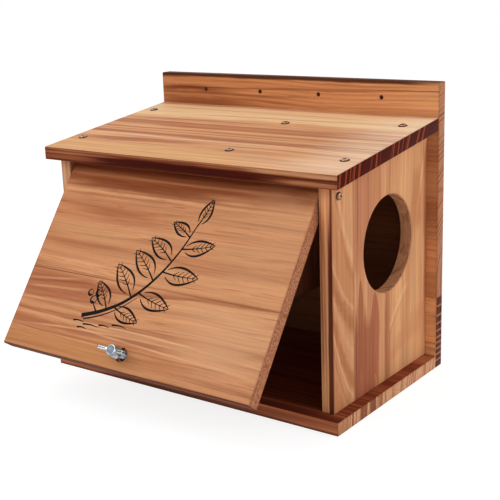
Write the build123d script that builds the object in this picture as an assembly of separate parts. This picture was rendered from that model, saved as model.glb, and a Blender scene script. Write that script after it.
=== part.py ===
from build123d import *
import math
import os

# A squirrel house of pine boards with a swinging front door.
# Millimetres. X runs to the right, Y to the rear and Z up.
# The origin is the centre of the footprint, on the surface that the house stands on.

# Boards and overall sizes
board = 12.0
house_width = 320.0
side_overhang = 11.0
wall_depth = 165.0
wall_rear_stave = 70.5
front_stave_share = 0.66
base_reach = 12.0
back_rise = 31.0
back_seam_height = 69.0
edge_ease = 0.6
overrun = 5.0

# Roof, which slopes down to the front and reaches past the walls there
roof_slope = 7.0
roof_reach = 9.0

# Entrance in the right wall
entrance_diameter = 86.0
entrance_setback = 72.0
entrance_height = 137.0

# Partition that hangs from the roof and leaves a way through under it
partition_offset = 30.0
partition_clearance = 1.0
passage_height = 51.5

# Holes for hanging the house on a trunk or a wall
hanging_hole_diameter = 4.2
hanging_hole_drop = 15.5
hanging_hole_pitch = 68.0
hanging_hole_count = 4

# Door and its pivot
door_side_gap = 0.8
door_bottom_gap = 4.5
door_above_pivot = 7.5
door_seam_drop = 103.0
pivot_height = 195.0
wall_above_pivot = 9.65
pivot_setback = 10.0
rest_opening = 36.0

# Pivot screws
pivot_shank_diameter = 4.0
pivot_screw_length = 32.0
pivot_running_gap = 0.06
pivot_head_gap = 0.3
pan_head_diameter = 7.4
pan_head_height = 2.6
pan_head_chamfer = 1.1
pivot_tip_chamfer = 0.9

# Countersunk wood screws, turned with a few flat sides because there are so many
screw_sides = 12
screw_head_diameter = 7.6
screw_shank_diameter = 3.6
screw_tip_diameter = 0.8
screw_length = 30.0
screw_point_length = 5.0
screw_fit = 0.05
screw_sink = 0.3
short_screw_length = 20.0

# Cross recess of every screw head
recess_length = 4.2
recess_width = 0.9
recess_depth = 1.5

# Roof screws, with raised heads: the front row from the walls' front, the rear ones from the back board
roof_front_setback = 27.5
roof_side_setback = 32.0
roof_middle_setback = 48.0
roof_screw_inset = 4.0
roof_rear_left_inset = 2.8
roof_rear_right_inset = 8.0
roof_rear_middle_shift = 2.0
roof_head_rise = 1.3
roof_crown_diameter = 5.6

# Other screws, as shares of the height or width of the board that they go into
wall_screw_shares = (0.1, 0.45, 0.8)
partition_screw_shares = (0.2, 0.77)
base_rear_screw_share = 0.25
roof_rear_screw_share = 0.3

# Wing screw that latches the door
latch_height = 31.0
thread_diameter = 6.0
thread_running_gap = 0.05
thread_pitch = 1.0
latch_turns = 9.5
screw_stand_off = 6.0
tip_depth = 0.2
hub_height = 8.5
hub_base_diameter = 12.0
hub_end_diameter = 9.2
hub_edge_chamfer = 0.5
hub_seat_gap = 0.3
hub_pocket_gap = 0.3
wing_span = 31.0
wing_root_height = 6.7
wing_tip_height = 7.0
wing_root_radius = 2.2
wing_tip_radius = 2.6
wing_thickness = 2.8
wing_rim = 0.8
wing_groove_depth = 0.6
tip_chamfer = 0.6

# Keeper ring near the tip, which keeps the wing screw in the door
ring_outer_diameter = 9.4
ring_thickness = 0.8
ring_groove_diameter = 4.6
ring_axial_gap = 0.05
ring_opening = 3.4
ring_rest_gap = 0.4
ring_tip_land = 0.6

# Threaded insert in the door
insert_diameter = 9.0
insert_flange_diameter = 12.6
insert_flange_thickness = 1.0
insert_fit = 0.02
ring_pocket_diameter = 13.4

# Latch block on the base, which the wing screw's tip enters
block_width = 30.0
block_depth = 22.0
block_height = 30.0
block_door_gap = 0.5
latch_hole_gap = 0.4
latch_hole_spare = 1.0
block_screw_offset = 9.0

# Places worked out from the sizes above
rear_y = (wall_depth + base_reach + board) / 2
join_y = rear_y - board
roof_tilt = math.radians(roof_slope)
roof_drop = board / math.cos(roof_tilt)
roof_back_height = pivot_height + wall_above_pivot + wall_depth * math.tan(roof_tilt) + roof_drop
back_height = roof_back_height + back_rise
wall_outer_x = house_width / 2 - side_overhang
wall_middle_x = wall_outer_x - board / 2
wall_inner_x = wall_outer_x - board
wall_front_y = join_y - wall_depth
entrance_y = join_y - entrance_setback
front_seam_y = wall_front_y + front_stave_share * (entrance_y - entrance_diameter / 2 - wall_front_y)
rear_seam_y = join_y - wall_rear_stave
pivot_y = wall_front_y + pivot_setback
door_sweep = math.hypot(board / 2, door_above_pivot)
partition_front_y = pivot_y + door_sweep + partition_clearance
partition_bottom = board + passage_height
door_half_width = wall_inner_x - door_side_gap
door_below_pivot = pivot_height - board - door_bottom_gap
door_back = -board / 2
door_front = board / 2
latch_travel = latch_turns * thread_pitch

# Along the wing screw's axis, from the middle of the door's thickness towards its front
hub_base = door_front + screw_stand_off
screw_tip = door_back + tip_depth
hub_pocket_depth = latch_travel + hub_seat_gap - screw_stand_off
insert_front = door_front - hub_pocket_depth
ring_front = screw_tip + ring_tip_land + ring_axial_gap + ring_thickness
flange_back = ring_front + ring_rest_gap
insert_seat = flange_back + insert_flange_thickness


def roof_top(y):
    """Height of the roof's upper face at a place along Y."""
    return roof_back_height - (join_y - y) * math.tan(roof_tilt)


def roof_underside(y):
    """Height of the roof's lower face at a place along Y."""
    return roof_top(y) - roof_drop


def plank(x_low, x_high, y_low, y_high, z_low, z_high):
    """A square-cut board with eased edges."""
    size = (x_high - x_low, y_high - y_low, z_high - z_low)
    middle = ((x_low + x_high) / 2, (y_low + y_high) / 2, (z_low + z_high) / 2)
    solid = Pos(*middle) * Box(*size)
    return chamfer(solid.edges(), edge_ease)


def upright(outline, x_middle):
    """A board on edge, from its outline in Y and Z, with eased edges."""
    face = make_face(Polyline(*[(0, y, z) for y, z in outline], close=True))
    solid = extrude(face, amount=board / 2, dir=(1, 0, 0), both=True)
    return Pos(x_middle, 0, 0) * chamfer(solid.edges(), edge_ease)


def rod(diameter, low, high):
    """A round rod along Z."""
    return Pos(0, 0, low) * Cylinder(
        diameter / 2, high - low, align=(Align.CENTER, Align.CENTER, Align.MIN)
    )


def frame_at(place, outward):
    """A location whose Z axis points outward from a place on a surface."""
    across = (0, 0, 1) if abs(outward[0]) > 0 else (1, 0, 0)
    return Plane(origin=place, x_dir=across, z_dir=outward).location


def turned(profile):
    """A slender solid along Z with flat sides, from its radius at each height, top first."""
    turns = [2 * math.pi * number / screw_sides for number in range(screw_sides)]
    rings = [[(r * math.cos(turn), r * math.sin(turn), z) for turn in turns] for r, z in profile]
    faces = [Face(Wire.make_polygon(ring)) for ring in (rings[0], rings[-1])]
    for upper, lower in zip(rings, rings[1:]):
        for number in range(screw_sides):
            last = number - 1
            corners = [upper[last], upper[number], lower[number], lower[last]]
            faces.append(Face(Wire.make_polygon(corners)))
    return Solid(Shell(faces))


def cross_recess(top):
    """The cross that a driver turns, cut down from a height."""
    arm = Box(recess_length, recess_width, recess_depth * 2)
    return Pos(0, 0, top) * (arm + Rot(0, 0, 90) * arm)


def screw_steps(length):
    """The radius of a wood screw at each height, from the flat of its head down to its tip."""
    head = screw_head_diameter / 2
    shank = screw_shank_diameter / 2
    tip = screw_tip_diameter / 2
    return [(head, 0), (shank, shank - head), (shank, screw_point_length - length), (tip, -length)]


def countersunk_screw(length):
    """A wood screw along Z, with its flat head at the origin."""
    return turned(screw_steps(length)) - cross_recess(0)


def raised_screw(length):
    """A wood screw along Z, whose crowned head stands above the origin."""
    crown = (roof_crown_diameter / 2, roof_head_rise)
    return turned([crown, *screw_steps(length)]) - cross_recess(roof_head_rise)


def screw_bore(length):
    """The room that a sunk screw needs, open above its head."""
    head = screw_head_diameter / 2 + screw_fit
    shank = screw_shank_diameter / 2 + screw_fit
    return turned([(head, overrun), (head, 0), (shank, shank - head), (shank, -length - screw_fit)])


def sunk(place, outward):
    """Where a screw's head lies when it is driven just under the surface."""
    return frame_at(place, outward) * Pos(0, 0, -screw_sink)


# Where each group of screws goes


def roof_screw_places():
    """Two screws over each wall and two over the partition."""
    normal = (0, -math.sin(roof_tilt), math.cos(roof_tilt))
    side = wall_outer_x - roof_screw_inset
    front_y = wall_front_y + roof_front_setback
    side_y = join_y - roof_side_setback
    spots = [(-side, front_y), (side, front_y), (partition_offset, front_y)]
    spots += [(roof_rear_left_inset - wall_outer_x, side_y), (wall_outer_x - roof_rear_right_inset, side_y)]
    spots.append((partition_offset - roof_rear_middle_shift, join_y - roof_middle_setback))
    return [(frame_at((x, y, roof_top(y)), normal), screw_length) for x, y in spots]


def base_screw_places():
    """Screws up through the base into the front and rear boards of each wall."""
    return [
        (sunk((x, y, 0), (0, 0, -1)), screw_length)
        for x in (-wall_middle_x, wall_middle_x)
        for y in ((join_y + rear_seam_y) / 2, (wall_front_y + front_seam_y) / 2)
    ]


def block_screw_places():
    """Two short screws up through the base into the latch block."""
    y = pivot_y + board / 2 + block_door_gap + block_depth / 2
    return [
        (sunk((x, y, 0), (0, 0, -1)), short_screw_length)
        for x in (-block_screw_offset, block_screw_offset)
    ]


def rear_screw_places():
    """Screws through the back board into the walls, partition, base and roof."""
    rise = roof_underside(join_y) - board
    spots = [
        (x, board + share * rise)
        for x in (-wall_middle_x, wall_middle_x)
        for share in wall_screw_shares
    ]
    rise = roof_underside(join_y) - partition_bottom
    spots += [(partition_offset, partition_bottom + share * rise) for share in partition_screw_shares]
    base_x = base_rear_screw_share * house_width
    spots += [(x, board / 2) for x in (-base_x, base_x)]
    roof_x = roof_rear_screw_share * house_width
    roof_z = roof_top(join_y) - roof_drop / 2 - board * math.tan(roof_tilt)
    spots += [(x, roof_z) for x in (-roof_x, roof_x)]
    return [(sunk((x, rear_y, z), (0, 1, 0)), screw_length) for x, z in spots]


def screws_at(places, screw=countersunk_screw):
    """One solid for each screw of a group."""
    return [place * screw(length) for place, length in places]


def bores_at(places):
    """One cutter for each screw of a group."""
    return [place * screw_bore(length) for place, length in places]


# Boards of the case


def back_panel():
    """The two edge-glued boards of the back, the lower one first."""
    panel = plank(-house_width / 2, house_width / 2, join_y, rear_y, 0, back_height)
    panel -= bores_at(rear_screw_places())
    first = -hanging_hole_pitch * (hanging_hole_count - 1) / 2
    for number in range(hanging_hole_count):
        hole = rod(hanging_hole_diameter, -overrun, board + overrun)
        place = (first + number * hanging_hole_pitch, join_y, back_height - hanging_hole_drop)
        panel -= frame_at(place, (0, 1, 0)) * hole
    seam = Plane.XY.offset(back_seam_height)
    return panel.split(seam, keep=Keep.BOTTOM), panel.split(seam, keep=Keep.TOP)


def base_board():
    """The floor of the house, which butts against the back board."""
    front_y = wall_front_y - base_reach
    solid = plank(-house_width / 2, house_width / 2, front_y, join_y, 0, board)
    solid -= bores_at(base_screw_places())
    solid -= bores_at(block_screw_places())
    return solid - bores_at(rear_screw_places())


def roof_board():
    """The sloping roof, cut plumb at both ends."""
    front_y = wall_front_y - roof_reach
    outline = [
        (front_y, roof_underside(front_y)),
        (join_y, roof_underside(join_y)),
        (join_y, roof_top(join_y)),
        (front_y, roof_top(front_y)),
    ]
    face = make_face(Polyline(*[(0, y, z) for y, z in outline], close=True))
    solid = extrude(face, amount=house_width / 2, dir=(1, 0, 0), both=True)
    solid = chamfer(solid.edges(), edge_ease)
    return solid - bores_at(roof_screw_places()) - bores_at(rear_screw_places())


def wall_panel(x_middle):
    """A side wall before its entrance is cut, with its screw and pivot holes."""
    outline = [
        (wall_front_y, board),
        (join_y, board),
        (join_y, roof_underside(join_y)),
        (wall_front_y, roof_underside(wall_front_y)),
    ]
    solid = upright(outline, x_middle)
    solid -= bores_at(roof_screw_places())
    solid -= bores_at(base_screw_places())
    solid -= bores_at(rear_screw_places())
    bore = rod(pivot_shank_diameter + 2 * pivot_running_gap, -board, board)
    return solid - frame_at((x_middle, pivot_y, pivot_height), (1, 0, 0)) * bore


def staves(panel):
    """The three edge-glued boards of a side wall, the front one first."""
    front_seam = Plane.XZ.offset(-front_seam_y)
    rear_seam = Plane.XZ.offset(-rear_seam_y)
    front = panel.split(front_seam, keep=Keep.TOP)
    rest = panel.split(front_seam, keep=Keep.BOTTOM)
    return front, rest.split(rear_seam, keep=Keep.TOP), rest.split(rear_seam, keep=Keep.BOTTOM)


def left_wall():
    """The plain side wall, in three boards."""
    return staves(wall_panel(-wall_middle_x))


def right_wall():
    """The wall with the round entrance, whose rim is eased on both faces, in three boards."""
    solid = wall_panel(wall_middle_x)
    place = frame_at((wall_middle_x, entrance_y, entrance_height), (1, 0, 0))
    solid -= place * rod(entrance_diameter, -board, board)
    rims = [
        edge
        for edge in solid.edges().filter_by(GeomType.CIRCLE)
        if abs(edge.radius - entrance_diameter / 2) < edge_ease
    ]
    return staves(chamfer(rims, edge_ease))


def partition():
    """The inner board that hangs from the roof and parts the house into two rooms."""
    outline = [
        (partition_front_y, partition_bottom),
        (join_y, partition_bottom),
        (join_y, roof_underside(join_y)),
        (partition_front_y, roof_underside(partition_front_y)),
    ]
    solid = upright(outline, partition_offset)
    return solid - bores_at(roof_screw_places()) - bores_at(rear_screw_places())


def latch_block():
    """The block behind the closed door, with the hole that the wing screw enters."""
    front_y = pivot_y + board / 2 + block_door_gap
    half = block_width / 2
    solid = plank(-half, half, front_y, front_y + block_depth, board, board + block_height)
    depth = latch_travel + door_back - screw_tip + latch_hole_spare
    hole = rod(ring_outer_diameter + 2 * latch_hole_gap, -depth, overrun)
    solid -= frame_at((0, front_y, latch_height), (0, -1, 0)) * hole
    return solid - bores_at(block_screw_places())


# The door and what turns with it, made shut and then swung to its place at rest


def swing(solid):
    """Swings a piece of the shut door to the opening that the door has at rest."""
    return solid.rotate(Axis((0, pivot_y, pivot_height), (1, 0, 0)), -rest_opening)


def latch_axis():
    """The wing screw's axis on the shut door, with Z out of the door's front."""
    return Plane(origin=(0, pivot_y, latch_height), x_dir=(1, 0, 0), z_dir=(0, -1, 0)).location


def pivot_screw(side):
    """A pan-head screw through one wall into the end of the door, shut position."""
    crown = pivot_head_gap + pan_head_height
    shank = rod(pivot_shank_diameter, pivot_head_gap - pivot_screw_length, pivot_head_gap)
    shank = chamfer(shank.edges().sort_by(Axis.Z)[0], pivot_tip_chamfer)
    head = rod(pan_head_diameter, pivot_head_gap, crown)
    head = chamfer(head.edges().sort_by(Axis.Z)[-1], pan_head_chamfer)
    solid = shank + head - cross_recess(crown)
    return frame_at((side * wall_outer_x, pivot_y, pivot_height), (side, 0, 0)) * solid


def pivot_bore(side):
    """The hole that a pivot screw bites into, in the end of the door."""
    bore = rod(pivot_shank_diameter + 2 * screw_fit, -pivot_screw_length, overrun)
    return frame_at((side * wall_outer_x, pivot_y, pivot_height), (side, 0, 0)) * bore


def latch_bore():
    """The stepped hole through the door for the wing screw, its insert and its ring."""
    hub_pocket = rod(hub_base_diameter + 2 * hub_pocket_gap, insert_front, door_front + overrun)
    body_hole = rod(insert_diameter + 2 * insert_fit, insert_seat - overrun, door_front)
    ring_pocket = rod(ring_pocket_diameter, door_back - overrun, insert_seat)
    return latch_axis() * (hub_pocket + body_hole + ring_pocket)


def door_panel():
    """The two edge-glued boards of the door, the lower one first."""
    panel = plank(
        -door_half_width,
        door_half_width,
        pivot_y - board / 2,
        pivot_y + board / 2,
        pivot_height - door_below_pivot,
        pivot_height + door_above_pivot,
    )
    panel -= pivot_bore(-1)
    panel -= pivot_bore(1)
    panel -= latch_bore()
    seam = Plane.XY.offset(pivot_height - door_seam_drop)
    lower = panel.split(seam, keep=Keep.BOTTOM)
    upper = panel.split(seam, keep=Keep.TOP)
    return swing(lower), swing(upper)


def threaded_insert():
    """The flanged metal bush in the door that carries the wing screw's thread."""
    body = rod(insert_diameter, insert_seat, insert_front)
    flange = rod(insert_flange_diameter, flange_back, insert_seat)
    bore = rod(thread_diameter, flange_back - overrun, insert_front + overrun)
    return swing(latch_axis() * (body + flange - bore))


def keeper_ring():
    """The open ring in the groove near the wing screw's tip."""
    inner = ring_groove_diameter / 2 + thread_running_gap
    disc = rod(ring_outer_diameter, ring_front - ring_thickness, ring_front)
    disc -= rod(2 * inner, ring_front - ring_thickness - overrun, ring_front + overrun)
    gap = Pos(0, -ring_outer_diameter / 2, ring_front) * Box(
        ring_opening, ring_outer_diameter, overrun
    )
    return swing(latch_axis() * (disc - gap))


def wing_pair(grow):
    """The outline of both wings, made smaller or larger all round by a given amount."""
    reach = wing_span / 2 - wing_tip_radius
    lobes = Sketch()
    for side in (-1, 1):
        root = Pos(0, wing_root_height) * Circle(wing_root_radius + grow)
        tip = Pos(side * reach, wing_tip_height) * Circle(wing_tip_radius + grow)
        lobes += make_hull(root.edges() + tip.edges())
    return Plane.XZ * lobes


def wing_screw():
    """The cast screw: a tapered hub, two rimmed wings and a shank with a ring groove."""
    base = hub_base_diameter / 2
    end = hub_end_diameter / 2
    hub_profile = make_face(
        Plane.XZ * Polyline((0, 0), (base, 0), (end, hub_height), (0, hub_height), close=True)
    )
    hub = revolve(hub_profile, Axis.Z)
    hub = chamfer(hub.edges().filter_by(GeomType.CIRCLE), hub_edge_chamfer)
    wings = extrude(wing_pair(0), amount=wing_thickness / 2, both=True)
    hollow = wing_pair(-wing_rim)
    for side in (-1, 1):
        floor = side * (wing_thickness / 2 - wing_groove_depth)
        wings -= Pos(0, floor, 0) * extrude(hollow, amount=overrun, dir=(0, side, 0))
    shank_length = hub_base - screw_tip
    shank = rod(thread_diameter - 2 * thread_running_gap, -shank_length, 0)
    shank = chamfer(shank.edges().sort_by(Axis.Z)[0], tip_chamfer)
    groove_low = ring_front - ring_thickness - ring_axial_gap - hub_base
    groove_high = ring_front + ring_axial_gap - hub_base
    shank -= rod(thread_diameter, groove_low, groove_high) - rod(
        ring_groove_diameter, groove_low - overrun, groove_high + overrun
    )
    solid = hub + wings + shank
    return swing(latch_axis() * Pos(0, 0, hub_base) * solid)


def all_nodes():
    """Every node of the house, by name."""
    back_lower, back_upper = back_panel()
    left_front, left_middle, left_rear = left_wall()
    right_front, right_middle, right_rear = right_wall()
    door_lower, door_upper = door_panel()
    return {
        "back_lower_board": back_lower,
        "back_upper_board": back_upper,
        "base_board": base_board(),
        "roof_board": roof_board(),
        "left_wall_front_board": left_front,
        "left_wall_middle_board": left_middle,
        "left_wall_rear_board": left_rear,
        "right_wall_front_board": right_front,
        "right_wall_middle_board": right_middle,
        "right_wall_rear_board": right_rear,
        "partition": partition(),
        "latch_block": latch_block(),
        "roof_screws": screws_at(roof_screw_places(), raised_screw),
        "base_screws": screws_at(base_screw_places()),
        "latch_block_screws": screws_at(block_screw_places()),
        "back_screws": screws_at(rear_screw_places()),
        "door_lower_board": door_lower,
        "door_upper_board": door_upper,
        "left_pivot_screw": swing(pivot_screw(-1)),
        "right_pivot_screw": swing(pivot_screw(1)),
        "threaded_insert": threaded_insert(),
        "keeper_ring": keeper_ring(),
        "wing_screw": wing_screw(),
    }


os.makedirs("parts", exist_ok=True)
for node, shape in all_nodes().items():
    solids = shape if isinstance(shape, list) else [shape]
    whole = Compound(children=[solid for item in solids for solid in item.solids()])
    export_step(whole, f"parts/{node}.step")
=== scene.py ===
"""Looks of the squirrel house: flame-browned pine boards, a hung door and its wing screw.

Metres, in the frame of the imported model. X runs to the right, Y to the rear and Z up.
"""
import logging
import math
from dataclasses import dataclass, fields, replace
from enum import Enum
from typing import ClassVar

import bmesh
import bpy
from mathutils import Euler, Matrix, Vector


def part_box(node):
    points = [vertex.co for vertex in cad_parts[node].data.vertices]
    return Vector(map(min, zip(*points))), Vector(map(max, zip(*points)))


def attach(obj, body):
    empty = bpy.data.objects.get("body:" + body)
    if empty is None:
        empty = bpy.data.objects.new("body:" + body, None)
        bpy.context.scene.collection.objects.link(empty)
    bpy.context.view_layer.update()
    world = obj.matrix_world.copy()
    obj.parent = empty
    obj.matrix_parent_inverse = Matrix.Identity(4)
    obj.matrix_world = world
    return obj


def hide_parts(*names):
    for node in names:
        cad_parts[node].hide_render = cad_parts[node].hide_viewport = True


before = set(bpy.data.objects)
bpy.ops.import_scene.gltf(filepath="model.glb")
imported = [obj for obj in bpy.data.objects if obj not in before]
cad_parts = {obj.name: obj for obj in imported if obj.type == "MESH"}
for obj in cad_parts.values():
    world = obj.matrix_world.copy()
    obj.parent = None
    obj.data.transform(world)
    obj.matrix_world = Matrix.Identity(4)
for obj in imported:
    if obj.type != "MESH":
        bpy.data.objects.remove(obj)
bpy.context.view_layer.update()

LOG = logging.getLogger("squirrel_house")
MM = 0.001
SHADE = "shade"
X, Y, Z = Vector((1, 0, 0)), Vector((0, 1, 0)), Vector((0, 0, 1))

Colour = tuple[int, int, int]
Pair = tuple[float, float]
Outline = tuple[Pair, ...]
Point = tuple[float, float, float]
Mesh = bpy.types.Mesh
Object = bpy.types.Object
Shape = bmesh.types.BMesh
Socket = bpy.types.NodeSocket


# Helpers for node trees


def linear(colour: Colour) -> tuple[float, float, float, float]:
    """A colour as it looks on a screen, from 0 to 255, in the linear form that shaders take."""
    shares = [value / 255 for value in colour]
    return (*(s / 12.92 if s <= 0.04045 else ((s + 0.055) / 1.055) ** 2.4 for s in shares), 1.0)


@dataclass(frozen=True, eq=False)
class Value:
    """One output in a node tree. Arithmetic on it adds Math nodes."""

    tree: "Tree"
    socket: Socket

    def __add__(self, other: object) -> "Value":
        """Adds."""
        return self.tree.math("ADD", self, other)

    def __sub__(self, other: object) -> "Value":
        """Subtracts."""
        return self.tree.math("SUBTRACT", self, other)

    def __rsub__(self, other: object) -> "Value":
        """Is subtracted from a number."""
        return self.tree.math("SUBTRACT", other, self)

    def __mul__(self, other: object) -> "Value":
        """Multiplies."""
        return self.tree.math("MULTIPLY", self, other)

    def __truediv__(self, other: object) -> "Value":
        """Divides."""
        return self.tree.math("DIVIDE", self, other)

    def __abs__(self) -> "Value":
        """Drops the sign."""
        return self.tree.math("ABSOLUTE", self)

    def scaled(self, factor: object, more: object) -> "Value":
        """Multiplies by a factor and adds more, in one node."""
        return self.tree.math("MULTIPLY_ADD", self, factor, more)

    def ramp(self, low: float, high: float, top: float = 1.0) -> "Value":
        """A soft step that starts from 0 at the low value and ends with the top one at the high value."""
        inputs = {"Value": self, "From Min": low, "From Max": high, "To Min": 0.0, "To Max": top}
        return self.tree.out("ShaderNodeMapRange", inputs, interpolation_type="SMOOTHSTEP")


class Tree:
    """Adds nodes to one node tree and joins them. Sockets go by number, name or identifier."""

    NOISE_ROUGHNESS = 0.55

    def __init__(self, tree: bpy.types.NodeTree) -> None:
        """Keeps the tree that the nodes go into."""
        self.tree = tree

    def add(self, kind: str, inputs: dict | None = None, **settings: object) -> bpy.types.Node:
        """Adds one node.

        Args:
            kind: The node's type name.
            inputs: A plain value or an output for each input.
            settings: The node's own properties.

        Returns:
            The new node.
        """
        node = self.tree.nodes.new(kind)
        for name, value in settings.items():
            setattr(node, name, value)
        self.fill(node, inputs or {})
        return node

    def fill(self, node: bpy.types.Node, inputs: dict) -> None:
        """Links outputs to a node's inputs, or sets their own values.

        Args:
            node: The node.
            inputs: A plain value or an output for each input.
        """
        for key, value in inputs.items():
            socket = self.find(node.inputs, key)
            if isinstance(value, Value):
                self.tree.links.new(value.socket, socket)
            else:
                socket.default_value = value

    @staticmethod
    def find(sockets: bpy.types.bpy_prop_collection, key: int | str) -> Socket:
        """Finds a socket by its number, its name, or its identifier where names repeat.

        Args:
            sockets: A node's inputs or outputs.
            key: The number, name or identifier.

        Returns:
            The socket.
        """
        if isinstance(key, int):
            return sockets[key]
        return sockets.get(key) or next(socket for socket in sockets if socket.identifier == key)

    def out(self, kind: str, inputs: dict | None = None, key: int | str = 0, **settings: object) -> Value:
        """Adds one node and gives one of its outputs, the first unless the key names another."""
        return Value(self, self.find(self.add(kind, inputs, **settings).outputs, key))

    def named(self, node: bpy.types.Node) -> dict[str, Value]:
        """A node's outputs by name."""
        return {socket.name: Value(self, socket) for socket in node.outputs if socket.name}

    def output(self, values: dict) -> bpy.types.NodeTree:
        """Feeds the group's outputs and gives the group."""
        self.add("NodeGroupOutput", values)
        return self.tree

    def math(self, operation: str, *values: object, clamp: bool = False) -> Value:
        """Adds one Math node, whose result may be kept from 0 to 1."""
        return self.out("ShaderNodeMath", dict(enumerate(values)), operation=operation, use_clamp=clamp)

    def mix(self, share: object, first: object, second: object, how: str = "MIX") -> Value:
        """Mixes two colours by a share of the second."""
        inputs = {"Factor_Float": share, "A_Color": first, "B_Color": second}
        return self.out("ShaderNodeMix", inputs, "Result_Color", data_type="RGBA", blend_type=how, clamp_result=True)

    def scale(self, colour: object, factor: Value) -> Value:
        """Makes a colour lighter or darker by a factor."""
        colour = colour if isinstance(colour, Value) else colour[:3]
        return self.out("ShaderNodeVectorMath", {0: colour, "Scale": factor}, operation="SCALE")

    def vector(self, operation: str, *values: object) -> Value:
        """Adds one Vector Math node and gives its vector output."""
        return self.out("ShaderNodeVectorMath", dict(enumerate(values)), operation=operation)

    def combine(self, *values: object) -> Value:
        """Joins three numbers into a vector."""
        return self.out("ShaderNodeCombineXYZ", dict(enumerate(values)))

    def separate(self, vector: object) -> list[Value]:
        """Parts a vector into its three numbers."""
        return list(self.named(self.add("ShaderNodeSeparateXYZ", {0: vector})).values())

    def stretched(self, place: Value, scales: Point) -> Value:
        """A place with a scale of its own along each axis."""
        return self.combine(*(side * scale for side, scale in zip(self.separate(place), scales)))

    def noise(self, place: object, detail: float = 2.0, scale: float = 1.0, key: str = "Fac") -> Value:
        """Adds a noise texture."""
        inputs = {"Vector": place, "Scale": scale, "Detail": detail, "Roughness": self.NOISE_ROUGHNESS}
        return self.out("ShaderNodeTexNoise", inputs, key)

    def bump(self, height: Value, strength: float, distance: float) -> Value:
        """Adds a bump and gives its normal."""
        return self.out("ShaderNodeBump", {"Height": height, "Strength": strength, "Distance": distance})


def new_group(name: str, inputs: dict[str, str], outputs: dict[str, str],
              kind: str = "ShaderNodeTree") -> tuple[Tree, dict[str, Value]]:
    """Starts a node group with named sockets.

    Args:
        name: The group's name.
        inputs: The names of its inputs by kind of socket, parted by commas.
        outputs: The names of its outputs, in the same form.
        kind: The type name of the tree.

    Returns:
        The group's tree, and its inputs by name.
    """
    group = bpy.data.node_groups.new(name, kind)
    for way, kinds in (("INPUT", inputs), ("OUTPUT", outputs)):
        for socket, names in kinds.items():
            for label in names.split(", "):
                group.interface.new_socket(name=label, in_out=way, socket_type=f"NodeSocket{socket}")
    tree = Tree(group)
    return tree, tree.named(tree.add("NodeGroupInput"))


# Shared surface effects


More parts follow.
